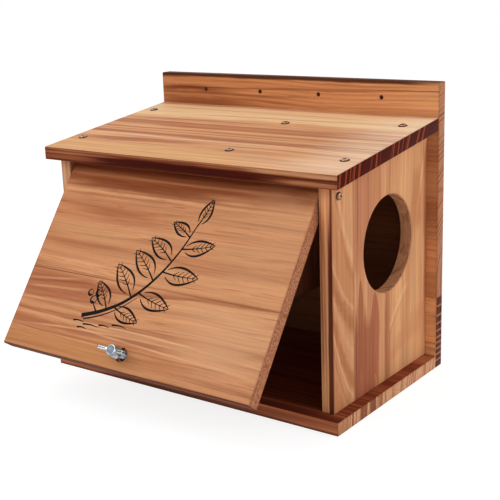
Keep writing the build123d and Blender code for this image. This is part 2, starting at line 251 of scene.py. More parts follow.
class Effects:
    """The shader groups that more than one material uses, each built once.

    A pair of limits is where a soft step starts and ends. A pair of scales is a noise's scale along the
    grain and across it.
    """

    SEED_STEP = 7.31
    BEND_SCALES, FIBRE_SCALES, STREAK_SCALES, FLECK_SCALES = (5.0, 16.0), (8.0, 620.0), (4.0, 230.0), (70.0, 1500.0)
    RING_NOISE, RING_UNEVENNESS, PATCH_SCALES, BAND_SCALE = 0.35, 1.6, (9.0, 0.9), 2.2
    LATE_LIMITS, RING_END_LIMITS, PATCH_LIMITS, FLECK_LIMITS = (0.35, 0.88), (0.9, 1.0), (0.28, 0.62), (0.64, 0.74)
    LATE_HEIGHT, FIBRE_HEIGHT = 0.7, 0.35
    FACING_LIMITS, WEAR_SCALE, WEAR_SPREAD, WEAR_LEAST = (0.5, 0.9), 90.0, 1.6, 0.2
    STRIPE_SCALES, STRIPE_WANDER, STRIPE_LIMITS = (14.0, 60.0), 2.2, (-0.6, 0.6)
    STRIPE_END_WANDER, STRIPE_END_LIMITS = 0.8, (-0.7, 0.7)
    RING_TONE, VEIN_LIMITS, FLECK_STRENGTH, DULLNESS = (0.75, 0.25), (0.55, 0.7), 0.3, (0.18, 0.44)
    CLOUD_SCALE, CLOUD_LIMITS, SCRATCH_SCALES = 420.0, (0.38, 0.72), (300.0, 2600.0, 2600.0)

    _made: dict[str, bpy.types.NodeTree] = {}

    @classmethod
    def use(cls, tree: Tree, name: str, inputs: dict) -> dict[str, Value]:
        """Places a shared group in a material, and builds it the first time.

        Args:
            tree: The material's tree.
            name: One of grain, faces, stripe, tone or tarnish.
            inputs: A plain value or an output for each of its inputs.

        Returns:
            The group's outputs by name.
        """
        if name not in cls._made:
            cls._made[name] = getattr(cls, name)()
        return tree.named(tree.add("ShaderNodeGroup", inputs, node_tree=cls._made[name]))

    @classmethod
    def grain(cls) -> bpy.types.NodeTree:
        """Growth rings about a pith, as any cut through the log shows them.

        Returns:
            The group.
        """
        tree, given = new_group(
            "Pine grain", {"Vector": "Place", "Float": "Pith Across, Pith Depth, Tilt, Ring, Band, Wander, Seed"},
            {"Float": "Late, Ring Tone, Band, Streak, Fibre, Fleck, Height"})
        x, y, z = tree.separate(given["Place"])
        shift = given["Seed"] * cls.SEED_STEP

        def noise(scales: tuple[float, float], sides: list[Value], detail: float, key: str = "Fac") -> Value:
            """Noise with one scale along the grain and one across it."""
            place = tree.combine(x.scaled(scales[0], shift), *(side * scales[1] for side in sides))
            return tree.noise(place, detail, key=key)

        bend = tree.separate(noise(cls.BEND_SCALES, [y, z], 1.5, "Color"))
        moved = [side + (push - 0.5) * given["Wander"] for side, push in zip((y, z), bend)]
        across = moved[0] - given["Pith Across"]
        depth = moved[1] + given["Pith Depth"] + x * given["Tilt"]
        radius = tree.math("SQRT", across * across + depth * depth)
        rings = radius / given["Ring"]
        uneven = tree.noise(tree.combine(rings * cls.RING_NOISE, shift, 0.0), 1.0)
        rings = uneven.scaled(cls.RING_UNEVENNESS, rings)
        number = tree.math("FLOOR", rings) + shift
        part = tree.math("FRACT", rings)
        patchy = tree.noise(tree.combine(x * cls.PATCH_SCALES[0], rings * cls.PATCH_SCALES[1], shift))
        fall = 1.0 - part.ramp(*cls.RING_END_LIMITS)
        late = part.ramp(*cls.LATE_LIMITS) * fall * patchy.ramp(*cls.PATCH_LIMITS)
        fibre = noise(cls.FIBRE_SCALES, moved, 3.0)
        return tree.output({
            "Late": late, "Fibre": fibre, "Streak": noise(cls.STREAK_SCALES, moved, 3.0),
            "Ring Tone": tree.out("ShaderNodeTexWhiteNoise", {"W": number}, "Value", noise_dimensions="1D"),
            "Band": tree.noise(tree.combine(x * cls.BAND_SCALE, radius / given["Band"], shift), 3.0),
            "Fleck": noise(cls.FLECK_SCALES, [y, z], 1.0).ramp(*cls.FLECK_LIMITS),
            "Height": late.scaled(cls.LATE_HEIGHT, fibre * cls.FIBRE_HEIGHT)})

    @classmethod
    def faces(cls) -> bpy.types.NodeTree:
        """Masks for a board's ends, sides and inner face, and for its eased edges.

        Returns:
            The group.
        """
        tree, given = new_group("Board faces", {"Vector": "Place, Facing, Half Size", "Float": "Reach, Seed"},
                                {"Float": "End, Side, Inner, Edge"})
        ways = tree.separate(tree.vector("ABSOLUTE", given["Facing"]))
        end, side = (way.ramp(*cls.FACING_LIMITS) for way in ways[:2])
        inward = tree.separate(given["Facing"])[2] * -1.0
        room = tree.vector("SUBTRACT", given["Half Size"], tree.vector("ABSOLUTE", given["Place"]))
        x, y, z = tree.separate(room)
        pairs = [tree.math("MAXIMUM", a, b) for a, b in ((x, y), (y, z), (x, z))]
        nearest = tree.math("MINIMUM", tree.math("MINIMUM", pairs[0], pairs[1]), pairs[2])
        shifted = tree.vector("ADD", given["Place"], tree.combine(given["Seed"], 0.0, 0.0))
        rough = tree.noise(shifted, 3.0, cls.WEAR_SCALE)
        reach = given["Reach"] * rough.scaled(cls.WEAR_SPREAD, cls.WEAR_LEAST)
        edge = 1.0 - (nearest / reach).ramp(0.0, 1.0)
        return tree.output({"End": end, "Side": side, "Inner": inward.ramp(*cls.FACING_LIMITS), "Edge": edge})

    @classmethod
    def stripe(cls) -> bpy.types.NodeTree:
        """A soft stripe along the first axis, whose edges wander and whose ends fade.

        Returns:
            The group.
        """
        tree, given = new_group("Grain stripe", {
            "Vector": "Place",
            "Float": "Across, Half Width, Softness, Along, Half Length, Slope, Bend, Fade, Seed"}, {"Float": "Mask"})
        x, y, _ = tree.separate(given["Place"])
        run = x - given["Along"]
        middle = given["Across"] + run * run.scaled(given["Bend"], given["Slope"])
        slow = tree.combine(x * cls.STRIPE_SCALES[0], y * cls.STRIPE_SCALES[1], given["Seed"])
        wander = tree.noise(slow, 3.0) - 0.5
        moved = wander.scaled(given["Softness"] * cls.STRIPE_WANDER, y)
        past = (abs(moved - middle) - given["Half Width"]) / given["Softness"]
        beyond = (abs(run) - given["Half Length"]) / given["Fade"]
        ends = 1.0 - wander.scaled(cls.STRIPE_END_WANDER, beyond).ramp(*cls.STRIPE_END_LIMITS)
        return tree.output({"Mask": (1.0 - past.ramp(*cls.STRIPE_LIMITS)) * ends})

    @classmethod
    def tone(cls) -> bpy.types.NodeTree:
        """The colour of browned pine from its grain.

        Returns:
            The group.
        """
        tree, given = new_group("Browned pine", {
            "Float": "Late, Ring Tone, Band, Streak, Fibre, Fleck, Contrast, Line Strength, Brushing",
            "Color": "Light, Deep, Line"}, {"Color": "Colour", "Float": "Dullness"})
        share = tree.math("ADD", (given["Band"] - 0.5) * given["Contrast"], 0.5, clamp=True)
        colour = tree.mix(share, given["Light"], given["Deep"])
        late = given["Late"] * given["Ring Tone"].scaled(*cls.RING_TONE)
        for mask in (late, given["Fibre"].ramp(*cls.VEIN_LIMITS)):
            line = tree.math("MULTIPLY", mask, given["Line Strength"], clamp=True)
            colour = tree.mix(line, colour, given["Line"])
        colour = tree.mix(given["Fleck"] * cls.FLECK_STRENGTH, colour, given["Line"])
        streak = (given["Fibre"] + given["Streak"] - 1.0).scaled(given["Brushing"], 1.0)
        return tree.output({"Colour": tree.scale(colour, streak), "Dullness": given["Fibre"].scaled(*cls.DULLNESS)})

    @classmethod
    def tarnish(cls) -> bpy.types.NodeTree:
        """Clouds and fine scratches on plated metal.

        Returns:
            The group.
        """
        tree, given = new_group("Plating wear", {"Vector": "Place", "Color": "Clean, Dull", "Float": "Smooth, Rough"},
                                {"Color": "Colour", "Float": "Roughness, Height"})
        cloud = tree.noise(given["Place"], 4.0, cls.CLOUD_SCALE)
        scratch = tree.noise(tree.stretched(given["Place"], cls.SCRATCH_SCALES))
        share = cloud.ramp(*cls.CLOUD_LIMITS)
        blur = scratch.scaled(0.5, share * 0.5)
        return tree.output({
            "Colour": tree.mix(share, given["Clean"], given["Dull"]), "Height": cloud + scratch,
            "Roughness": (given["Rough"] - given["Smooth"]).scaled(blur, given["Smooth"])})


def new_material(name: str) -> tuple[bpy.types.Material, Tree, bpy.types.Node]:
    """Starts a material.

    Args:
        name: Its name.

    Returns:
        The material, its tree and its Principled BSDF.
    """
    material = bpy.data.materials.new(name)
    material.use_nodes = True
    return material, Tree(material.node_tree), material.node_tree.nodes["Principled BSDF"]


# Finishes


class On(Enum):
    """The faces of a board that a stripe lies on, and the order of the axes that it is measured in."""

    FACE = (0, 1, 2)
    ARCH = (1, 0, 2)
    SIDE = (0, 2, 1)
    END = (2, 1, 0)


@dataclass(frozen=True)
class Grain:
    """How a board was cut from its log, in the board's own length, width and thickness."""

    pith_across: float
    pith_depth: float
    tilt: float = 0.0
    ring: float = 3.4 * MM
    band: float = 24 * MM
    wander: float = 14 * MM
    seed: float = 1.0

    def inputs(self) -> dict[str, float]:
        """The sizes by the names of the grain group's inputs."""
        return {name.replace("_", " ").title(): value for name, value in vars(self).items()}


@dataclass(frozen=True)
class Stripe:
    """One stripe of another tone, in millimetres across the board and along it.

    Its middle line slants by the slope and curves by the bend, both counted from where it is centred.
    A one-sided stripe stays off the board's inner face.
    """

    on: On
    across: float
    half_width: float
    softness: float
    colour: Colour
    strength: float
    along: float = 0.0
    half_length: float = 900.0
    slope: float = 0.0
    bend: float = 0.0
    fade: float = 45.0
    one_sided: bool = False

    def inputs(self) -> dict[str, float]:
        """The sizes in metres, by the names of the stripe group's inputs.

        Returns:
            A value for each input.
        """
        lengths = {"Across": self.across, "Half Width": self.half_width, "Softness": self.softness,
                   "Along": self.along, "Half Length": self.half_length, "Fade": self.fade}
        return {"Slope": self.slope, "Bend": self.bend / MM, **{name: size * MM for name, size in lengths.items()}}


def stripes(on: On, *rows: tuple, **shared: object) -> tuple[Stripe, ...]:
    """Stripes on one kind of face, each from a row of values in the order of Stripe's own fields."""
    return tuple(Stripe(on, *row, **shared) for row in rows)


@dataclass(frozen=True)
class PineFinish:
    """Pine that was browned with a flame and brushed.

    The colours of its sides and ends are pairs, of a light and a deep tone. The wood is darker near its
    eased edges. Its inner face is darker, partly as browner scorched wood and partly as painted shade, and a ring
    of painted shade lies on it round the heads of screws.
    """

    # A ring of painted shade on the wood round each screw head, for the shadow in the gap round the head.
    RIM_REACH: ClassVar[Pair] = (4.1 * MM, 4.9 * MM)
    RIM_STRENGTH: ClassVar[float] = 0.7
    RIM_COLOUR: ClassVar[Colour] = (52, 24, 14)
    EDGE_REACH: ClassVar[float] = 2.2 * MM
    EDGE_TINT: ClassVar[Colour] = (150, 104, 84)
    # Tint of the inner face: partly browner scorched wood, partly painted shade.
    INNER_TINT: ClassVar[Colour] = (128, 92, 76)
    SIDE_LIMITS: ClassVar[Pair] = (0.38, 0.62)
    END_LIMITS: ClassVar[Pair] = (0.36, 0.62)
    SPECULAR: ClassVar[float] = 0.03
    BUMP: ClassVar[Pair] = (0.25, 0.25 * MM)

    name: str
    grain: Grain
    light: Colour = (210, 154, 112)
    deep: Colour = (180, 116, 76)
    line: Colour = (132, 72, 44)
    side: tuple[Colour, Colour] = ((150, 92, 62), (96, 46, 32))
    end: tuple[Colour, Colour] = ((168, 108, 80), (104, 54, 40))
    # Strength of the inner face's darkening, which is partly painted shade.
    inner: float = 0.55
    edge: float = 0.3
    contrast: float = 3.4
    line_strength: float = 0.6
    brushing: float = 0.62
    end_mask: str = "Late"
    stripes: tuple[Stripe, ...] = ()

    def material(self, place: Vector, turn: Euler, half_size: Vector, rims: list[Vector]) -> bpy.types.Material:
        """Builds the board's material.

        Args:
            place: The board's middle.
            turn: The turn of its length, width and thickness from the frame's axes.
            half_size: Half its length, width and thickness.
            rims: The middles of the screw heads, round which a ring of painted shade darkens the wood.

        Returns:
            The material.
        """
        material, tree, surface = new_material(self.name)
        source = tree.named(tree.add("ShaderNodeTexCoord"))
        inputs = {"Vector": source["Object"], "Location": place, "Rotation": turn}
        local = tree.out("ShaderNodeMapping", inputs, vector_type="TEXTURE")
        inputs = {"Vector": source["Normal"], "Rotation": turn}
        facing = tree.out("ShaderNodeVectorRotate", inputs, rotation_type="EULER_XYZ", invert=True)
        seed = self.grain.seed
        rings = Effects.use(tree, "grain", {"Place": local, **self.grain.inputs()})
        masks = Effects.use(tree, "faces", {
            "Place": local, "Facing": facing, "Half Size": half_size, "Reach": self.EDGE_REACH, "Seed": seed})
        height = rings.pop("Height")
        wood = Effects.use(tree, "tone", {
            **rings, "Light": linear(self.light), "Deep": linear(self.deep), "Line": linear(self.line),
            "Contrast": self.contrast, "Line Strength": self.line_strength, "Brushing": self.brushing})
        fibres = rings["Fibre"] + 0.5
        colours = {On.FACE: wood["Colour"]}
        for face, pair, share in ((On.SIDE, self.side, rings["Streak"].ramp(*self.SIDE_LIMITS)),
                                  (On.END, self.end, rings[self.end_mask].ramp(*self.END_LIMITS))):
            colours[face] = tree.scale(tree.mix(share, *map(linear, pair)), fibres)
        axes = tree.separate(local)
        for number, stripe in enumerate(self.stripes):
            spot = tree.combine(*(axes[axis] for axis in stripe.on.value))
            mask = Effects.use(tree, "stripe", {"Place": spot, "Seed": seed + number, **stripe.inputs()})["Mask"]
            share = mask * stripe.strength
            if stripe.one_sided:
                share = share * (1.0 - masks["Inner"])
            face = On.FACE if stripe.on is On.ARCH else stripe.on
            colours[face] = tree.mix(share, colours[face], tree.scale(linear(stripe.colour), fibres))
        colour = tree.mix(masks["Side"], colours[On.FACE], colours[On.SIDE])
        colour = tree.mix(masks["End"], colour, colours[On.END])
        # Eased edges darken as browned wood; the inner face darkens partly as scorched wood and partly as painted
        # shade.
        for mask, share, tint in (("Edge", self.edge, self.EDGE_TINT), ("Inner", self.inner, self.INNER_TINT)):
            colour = tree.mix(masks[mask] * share, colour, tree.mix(1.0, colour, linear(tint), "MULTIPLY"))
        # Paints a ring of shade on the wood round each screw head.
        for rim in rims:
            away = tree.out("ShaderNodeVectorMath", {0: source["Object"], 1: rim}, "Value", operation="DISTANCE")
            ring = 1.0 - away.ramp(*self.RIM_REACH)
            colour = tree.mix(ring * self.RIM_STRENGTH, colour, linear(self.RIM_COLOUR))
        tree.fill(surface, {
            "Base Color": colour, "Roughness": wood["Dullness"], "Specular IOR Level": self.SPECULAR,
            "Normal": tree.bump(height, *self.BUMP)})
        return material


F, A, S, E = On.FACE, On.ARCH, On.SIDE, On.END

PINES = {finish.name: finish for finish in (
    PineFinish(
        "roof_board", Grain(0.16, 0.07, 0.015, ring=7.5 * MM, band=30 * MM, wander=8 * MM, seed=5.0),
        light=(238, 180, 132), deep=(220, 156, 110), line=(176, 108, 70), line_strength=0.5, brushing=1.0,
        side=((150, 84, 52), (96, 42, 25)), end=((72, 20, 9), (144, 60, 31)), edge=0.2,
        stripes=(
            *stripes(F,
                (13.4, 8.5, 6, (190, 120, 82), 0.8), (18, 1.4, 2, (172, 100, 66), 0.55, -30, 90),
                (7, 1.4, 2, (170, 98, 64), 0.6, 20, 120), (12.4, 1.0, 1.6, (212, 148, 108), 0.6, -10, 90),
                (36, 1.0, 2.2, (196, 130, 92), 0.6, -30, 50, 0.11), (46, 1.0, 2.2, (200, 134, 94), 0.5, 30, 60, 0.1),
                # The first row here lightens the roof's rear: partly lighter wood, partly painted light over the back
                # board's shadow.
                (62, 22, 10, (255, 212, 162), 0.85), (-4.8, 1.2, 2, (180, 112, 76), 0.7),
                (-22.5, 3.6, 3, (184, 112, 76), 0.85, 0, 900, -0.012), (-15, 1.0, 2, (232, 180, 138), 0.6),
                (-30.7, 1.3, 2, (244, 194, 154), 0.9, 0, 900, -0.012),
                (-42, 5, 7, (178, 106, 70), 0.8, -75, 65, 0.05), (-40, 1.4, 2, (158, 88, 58), 0.6, -90, 40, 0.05),
                (84, 2, 3, (176, 110, 74), 0.5), (-72, 14, 8, (238, 184, 126), 0.6, -60, 110),
                (-72, 14, 8, (240, 186, 146), 0.5, 110, 50)),
            *stripes(S, (-1.6, 3.4, 2.2, (66, 16, 10), 0.95, 0, 98), fade=30),
            *stripes(S,
                (4.8, 0.5, 0.8, (206, 140, 98), 0.6, 0, 160), (1.6, 0.6, 0.9, (186, 116, 78), 0.6, -118, 36),
                (-3.0, 0.5, 0.9, (178, 108, 72), 0.5, -124, 28)),
            *stripes(S, (3.4, 1.5, 1.4, (208, 148, 106), 0.85, 124, 44), fade=25),
            *stripes(S,
                (0.6, 0.7, 0.9, (84, 32, 20), 0.9, 118, 50), (-3.2, 1.6, 1.4, (188, 122, 82), 0.8, 138, 26), fade=20),
            *stripes(F, (0, 88, 30, (255, 224, 194), 0.5, 156, 40), fade=50),
            *stripes(F,
                *((place, 0.9, 1.5, (190, 124, 88), 0.6, 126, 54, 0.015) for place in (23, 9, -2, -19)),
                (26, 1.6, 2.4, (206, 142, 102), 0.6, -20, 120), (-12, 0.8, 1.4, (172, 102, 68), 0.7, -40, 120),
                (-26.5, 0.8, 1.4, (160, 92, 60), 0.6, 30, 90), (-64, 1.2, 2, (204, 140, 96), 0.5, 30, 90),
                (52, 0.8, 1.4, (196, 126, 84), 0.7, 20, 110, 0.03),
                (68, 0.8, 1.4, (202, 134, 92), 0.6, -20, 120, -0.02),
                (29.5, 0.9, 1.4, (178, 106, 68), 0.7, -60, 70, 0.02), (3, 0.7, 1.2, (236, 178, 134), 0.7, 60, 90),
                (21.6, 0.7, 1.2, (240, 184, 140), 0.7, -20, 110), (-53, 0.8, 1.4, (190, 120, 78), 0.6, -80, 60, 0.02),
                ),
            *stripes(E, *((place, 0.6, 0.9, (134, 66, 45), 0.7, 0, 900, 0.5) for place in (-64, -34, 0, 26, 58))),
        )),
    PineFinish(
        "back_upper_board", Grain(-0.09, 0.05, 0.012, ring=4.2 * MM, band=18 * MM, seed=3.0), light=(238, 166, 111),
        deep=(202, 130, 82), line=(122, 62, 35), line_strength=0.55, side=((116, 62, 42), (68, 32, 22)),
        end=((182, 124, 92), (134, 78, 54)),
        stripes=(
            # Painted shade on the back's inside, within the walls.
            *stripes(F, (-25, 82, 2, (80, 34, 20), 0.85, 0, 137), fade=4, one_sided=True),
            *stripes(F,
                (98.2, 2.1, 1.8, (74, 34, 22), 0.92, -40, 190), (84.5, 2.6, 4, (126, 62, 36), 0.85, -125, 45),
                (86.5, 0.6, 1.4, (112, 54, 32), 0.8, -40, 120, 0.012),
                (89.6, 0.5, 1.0, (124, 62, 38), 0.8, 70, 110, 0.02), (80, 1.4, 2.5, (150, 84, 50), 0.6, -60, 90),
                (72, 4.5, 5, (136, 70, 42), 0.7, -105, 55), (74, 8, 8, (214, 148, 100), 0.45, 110, 90)),
            *stripes(F, (10, 50, 16, (140, 80, 54), 0.4, 158, 10), fade=8),
            *stripes(F, (90, 3, 4, (206, 138, 90), 0.5, -20, 120)),
            *stripes(E, (2.5, 2.4, 4, (128, 74, 56), 0.5)),
        )),
    PineFinish(
        "back_lower_board", Grain(0.01, 0.04, 0.02, ring=5.0 * MM, band=12 * MM, seed=2.0), light=(255, 190, 134),
        deep=(246, 174, 118), line=(128, 64, 38), line_strength=0.7, end=((104, 54, 40), (58, 20, 16)),
        stripes=(
            # Painted shade on the back's inside, within the walls.
            *stripes(F, (6, 40, 2, (80, 34, 20), 0.85, 0, 137), fade=4, one_sided=True),
            *stripes(E,
                *((place, 0.8, 1.2, (190, 134, 108), 0.8) for place in (26.5, 17, 9, 2, -4.5, -10, -15.5, -21, -27))),
        )),
    PineFinish(
        "base_board", Grain(0.3, 0.055, 0.01, ring=5.2 * MM, band=10 * MM, wander=8 * MM, seed=4.0),
        light=(158, 82, 50), deep=(112, 46, 26), line=(80, 30, 18), line_strength=0.75,
        side=((228, 140, 97), (178, 101, 68)), end=((216, 162, 122), (174, 114, 80)), inner=0.4,
        stripes=(
            *stripes(E,
                (-47, 6, 2, (136, 76, 52), 0.85), (-31, 5.5, 2, (126, 68, 46), 0.85),
                (-39.5, 0.8, 1.2, (214, 160, 124), 0.8), (-54.5, 0.8, 1.2, (206, 150, 114), 0.8),
                (-18, 3.6, 2, (158, 96, 66), 0.7), (-64.5, 1.2, 1.5, (120, 62, 42), 0.85),
                (-24, 0.8, 1.2, (216, 162, 126), 0.7), (-9, 1.0, 1.4, (150, 90, 62), 0.7),
                (4, 2.2, 2, (170, 108, 78), 0.6), (22, 1.4, 1.6, (164, 102, 72), 0.6),
                (44, 1.2, 1.6, (160, 98, 70), 0.6), (66, 1.8, 1.6, (158, 96, 68), 0.6),
                (-80, 8, 6, (176, 114, 80), 0.6)),
            *stripes(F,
                (-76, 0.7, 1.2, (184, 116, 82), 0.6), (-64.5, 0.8, 1.2, (176, 108, 76), 0.6),
                (-49, 1, 1.4, (180, 112, 80), 0.6), (-34, 0.7, 1.4, (168, 100, 68), 0.6),
                (-86, 5, 4, (100, 44, 30), 0.7), (76, 12, 6, (176, 108, 72), 0.7)),
            # Painted shade on the floor inside the walls.
            *stripes(F, (6, 80, 4, (84, 34, 18), 0.6, 0, 134), fade=4, one_sided=True),
            *stripes(S, (-4.6, 1.2, 1.5, (70, 34, 26), 0.7), (-1.0, 0.8, 1.4, (176, 112, 82), 0.5)),
        )),
    PineFinish(
        "wall_front_board", Grain(0.05, 0.062, 0.02, ring=6.2 * MM, band=22 * MM, wander=7 * MM, seed=6.0),
        light=(220, 162, 116), deep=(204, 142, 100), line=(172, 108, 72), line_strength=0.35,
        side=((255, 182, 128), (222, 142, 98)),
        stripes=(
            *stripes(A,
                (46, 22, 14, (194, 128, 86), 0.6, 10, 90, 3.0, 0.04),
                (76, 5, 14, (176, 110, 72), 0.6, 8.5, 90, 4.0, 0.056),
                (92, 6, 9, (236, 180, 134), 0.45, 8.5, 90, 4.0, 0.056),
                (17, 8, 10, (172, 106, 70), 0.75, 16.5, 90, 2.2, 0.024),
                (31, 1.6, 5, (232, 176, 132), 0.5, 16.5, 90, 2.2, 0.024),
                (3, 3, 6, (222, 164, 120), 0.5, 16.5, 90, 2.6, 0.027),
                (-16, 8, 9, (178, 110, 72), 0.75, 16.5, 90, 2.9, 0.03),
                (-27, 1.6, 4, (234, 182, 138), 0.65, 16.5, 90, 3.2, 0.0346),
                (-42, 2.0, 7, (166, 98, 64), 0.5, 16.5, 90, 3.2, 0.0346),
                (-72, 12, 12, (196, 128, 84), 0.6, 16.5, 90, 2.4, 0.02), fade=5),
            *stripes(S,
                (4.0, 2.5, 1.4, (84, 31, 23), 0.9, -50, 110), (5.2, 1.2, 1.2, (96, 43, 32), 0.85, 60, 60),
                (-0.6, 0.7, 1.0, (186, 124, 84), 0.6, -60, 60), (-4.0, 1.0, 1.4, (112, 56, 34), 0.6, 20, 90)),
        )),
    PineFinish(
        "wall_middle_board", Grain(-0.06, 0.05, 0.012, ring=6.0 * MM, band=14 * MM, wander=6 * MM, seed=7.0),
        light=(216, 156, 112), deep=(200, 136, 94), line=(160, 94, 64), line_strength=0.5,
        side=((214, 150, 108), (176, 116, 80)), end=((208, 144, 104), (166, 108, 74)),
        stripes=(
            *stripes(F, (15, 14, 4, (190, 124, 90), 0.75, 80, 62), fade=20),
            *stripes(F, (24, 1.2, 2, (150, 84, 58), 0.6, 74, 60), (6, 0.8, 1.6, (158, 92, 64), 0.5, 60, 60)),
            *stripes(A,
                (-36, 40, 3, (166, 98, 68), 0.9, 19.3, 5.5, 0, -1.3),
                (-52, 38, 3, (168, 100, 70), 0.85, -4.8, 9.5, 0, -0.45), fade=3),
            *stripes(F, (13, 17, 4, (164, 96, 68), 0.85, -80, 42), fade=12),
            *stripes(F,
                (26.5, 1.6, 2, (142, 76, 52), 0.6, -50, 50), (12, 1.2, 2, (142, 78, 54), 0.6, -70, 50),
                (3, 1.0, 2, (188, 122, 90), 0.5, -80, 40), (-16, 5, 3, (214, 154, 108), 0.8, -60, 60),
                (-26.4, 2.6, 3.6, (168, 100, 70), 0.75, -72, 56)),
            *stripes(F,
                (27.5, 1.6, 1.6, (222, 162, 118), 0.75, -8, 18), (10.7, 2.6, 1.8, (220, 160, 116), 0.8, -6, 20),
                fade=12),
        )),
    PineFinish(
        "wall_rear_board", Grain(-0.03, 0.045, 0.055, ring=8 * MM, band=26 * MM, wander=10 * MM, seed=8.0),
        light=(224, 166, 118), deep=(206, 144, 100), line=(178, 112, 72), line_strength=0.5,
        side=((214, 150, 108), (176, 116, 80)), end=((208, 144, 104), (166, 108, 74)),
        stripes=(
            *stripes(F, (-33, 2.2, 2.5, (174, 102, 70), 0.75, 20, 85)),
            *stripes(A,
                (-62, 1.6, 4, (188, 122, 82), 0.5, 33.3, 22, -1.3, -0.011),
                (-56, 3, 6, (238, 184, 138), 0.5, 33.3, 30, -1.3, -0.011), fade=12),
            *stripes(A, (-84, 9, 12, (202, 136, 92), 0.5, 33.3, 90, -0.5, -0.0022)),
            *stripes(F, (-26.8, 1.2, 1.6, (240, 188, 144), 0.8, 80, 48, -0.25), fade=20),
            *stripes(F,
                (-15, 8, 5, (190, 122, 82), 0.6, 49, 26), (-31, 3.5, 3, (182, 112, 74), 0.7, 53, 40), fade=12),
            *stripes(F, (22, 3, 8, (200, 134, 94), 0.5, 60, 50)),
        )),
    PineFinish("partition", Grain(0.01, 0.04, 0.02, seed=9.0), light=(150, 84, 56), deep=(112, 60, 40)),
    PineFinish("latch_block", Grain(0.03, 0.02, 0.02, seed=10.0), light=(190, 130, 90), deep=(150, 92, 60)),
    PineFinish(
        "door_lower_board", Grain(0.075, 0.05, 0.02, ring=8 * MM, band=16 * MM, wander=16 * MM, seed=11.0),
        light=(232, 168, 120), deep=(200, 130, 90), line=(148, 78, 48), line_strength=0.65,
        side=((118, 62, 40), (82, 38, 24)), end=((200, 138, 102), (148, 90, 63)), end_mask="Fibre",
        stripes=(
            *stripes(F,
                (-37.2, 0.5, 0.8, (106, 50, 27), 0.9, 0, 160), (24, 11, 9, (172, 100, 68), 0.75, -100, 60),
                (-12, 3, 4, (172, 102, 68), 0.7, -50, 100), (0, 0.7, 1.2, (168, 96, 62), 0.6, -30, 80, 0.01),
                (-32, 0.7, 1.4, (176, 108, 66), 0.6, -90, 50), (-5.5, 1.2, 2, (224, 168, 122), 0.6, -60, 80),
                (-27, 8, 6, (208, 146, 92), 0.55, -60, 90),
                (-3.4, 0.7, 1.1, (240, 186, 142), 0.75, 30, 100, -0.02, -0.0003),
                (-9.2, 0.8, 1.2, (236, 180, 134), 0.7, -20, 90, 0.03, -0.0003),
                (-14.6, 0.7, 1.2, (240, 184, 138), 0.75, 46, 84, -0.03, 0.0002),
                (-20.4, 0.6, 1.0, (232, 172, 122), 0.6, -60, 70, -0.02), (-24, 1.6, 2.5, (180, 112, 74), 0.5, 40, 60),
                (6, 2, 3, (184, 116, 80), 0.5, -80, 60), (5, 26, 14, (228, 172, 130), 0.5, 100, 40)),
            *stripes(F,
                (30, 0.9, 1.6, (228, 170, 122), 0.6, -105, 30, 0.1),
                (27, 0.8, 1.6, (150, 84, 54), 0.6, -100, 36, 0.1),
                (22, 0.9, 1.6, (224, 164, 118), 0.6, -95, 34, 0.08),
                (13, 0.9, 1.6, (162, 94, 60), 0.6, -85, 50, 0.03),
                (10, 0.9, 1.6, (230, 172, 124), 0.6, -85, 60, 0.02), fade=20),
            *stripes(F,
                (-18.5, 0.7, 1.4, (160, 92, 58), 0.5, -10, 120), (37.2, 0.25, 0.5, (92, 42, 28), 0.9, -100, 60),
                (37.4, 0.15, 0.4, (130, 72, 48), 0.7, 60, 110)),
        )),
    PineFinish(
        "door_upper_board", Grain(-0.085, 0.05, 0.015, ring=9 * MM, band=20 * MM, wander=16 * MM, seed=12.0),
        light=(232, 168, 120), deep=(204, 136, 94), line=(150, 82, 52), line_strength=0.6,
        side=((158, 98, 64), (110, 58, 36)), end=((200, 138, 102), (148, 90, 63)), end_mask="Fibre",
        stripes=(
            *stripes(F,
                # The first three rows darken the door's top: partly darker wood, partly a painted shadow of the roof.
                (44, 12, 6, (148, 77, 43), 0.85, -30, 170), (32, 5.5, 5, (140, 74, 43), 0.85, -42, 80),
                (50, 4.5, 3, (126, 64, 37), 0.85, -20, 170), (37, 1.2, 2, (146, 78, 46), 0.6, 60, 90),
                (26, 0.8, 1.6, (160, 90, 56), 0.6, 20, 110), (40, 1.2, 2, (206, 138, 92), 0.6, -10, 120),
                (21, 1.2, 2, (168, 98, 62), 0.6, -60, 70), (4.6, 4.5, 5, (176, 106, 68), 0.75, -63, 36),
                (15, 2, 3, (182, 114, 76), 0.5, -30, 90), (-28.4, 2.4, 4, (180, 112, 74), 0.6, -90, 50),
                (-16, 6, 6, (216, 158, 112), 0.5, -90, 45), (0, 40, 18, (214, 158, 116), 0.4, 105, 30)),
        )),
)}


@dataclass(frozen=True)
class PlatedFinish:
    """Zinc-plated steel, bright or dulled."""

    SHADE_ROUGHNESS: ClassVar[float] = 0.25
    BUMP: ClassVar[Pair] = (0.2, 0.03 * MM)

    name: str
    clean: Colour
    dull: Colour
    smooth: float
    rough: float
    # The colour where the mesh is marked, which on screw heads is painted shade.
    shade: Colour = (60, 52, 46)

    def material(self) -> bpy.types.Material:
        """Builds the metal's material, which takes the shade colour where the mesh is marked; on screw heads that
        colour is painted shade.

        Returns:
            The material.
        """
        material, tree, surface = new_material(self.name)
        place = tree.named(tree.add("ShaderNodeTexCoord"))["Object"]
        wear = Effects.use(tree, "tarnish", {
            "Place": place, "Clean": linear(self.clean), "Dull": linear(self.dull),
            "Smooth": self.smooth, "Rough": self.rough})
        mark = tree.named(tree.add("ShaderNodeAttribute", attribute_name=SHADE))["Fac"]
        tree.fill(surface, {
            "Base Color": tree.mix(mark, wear["Colour"], linear(self.shade)),
            "Roughness": mark.scaled(self.SHADE_ROUGHNESS, wear["Roughness"]), "Metallic": 1.0,
            "Normal": tree.bump(wear["Height"], *self.BUMP)})
        return material


# Meshes

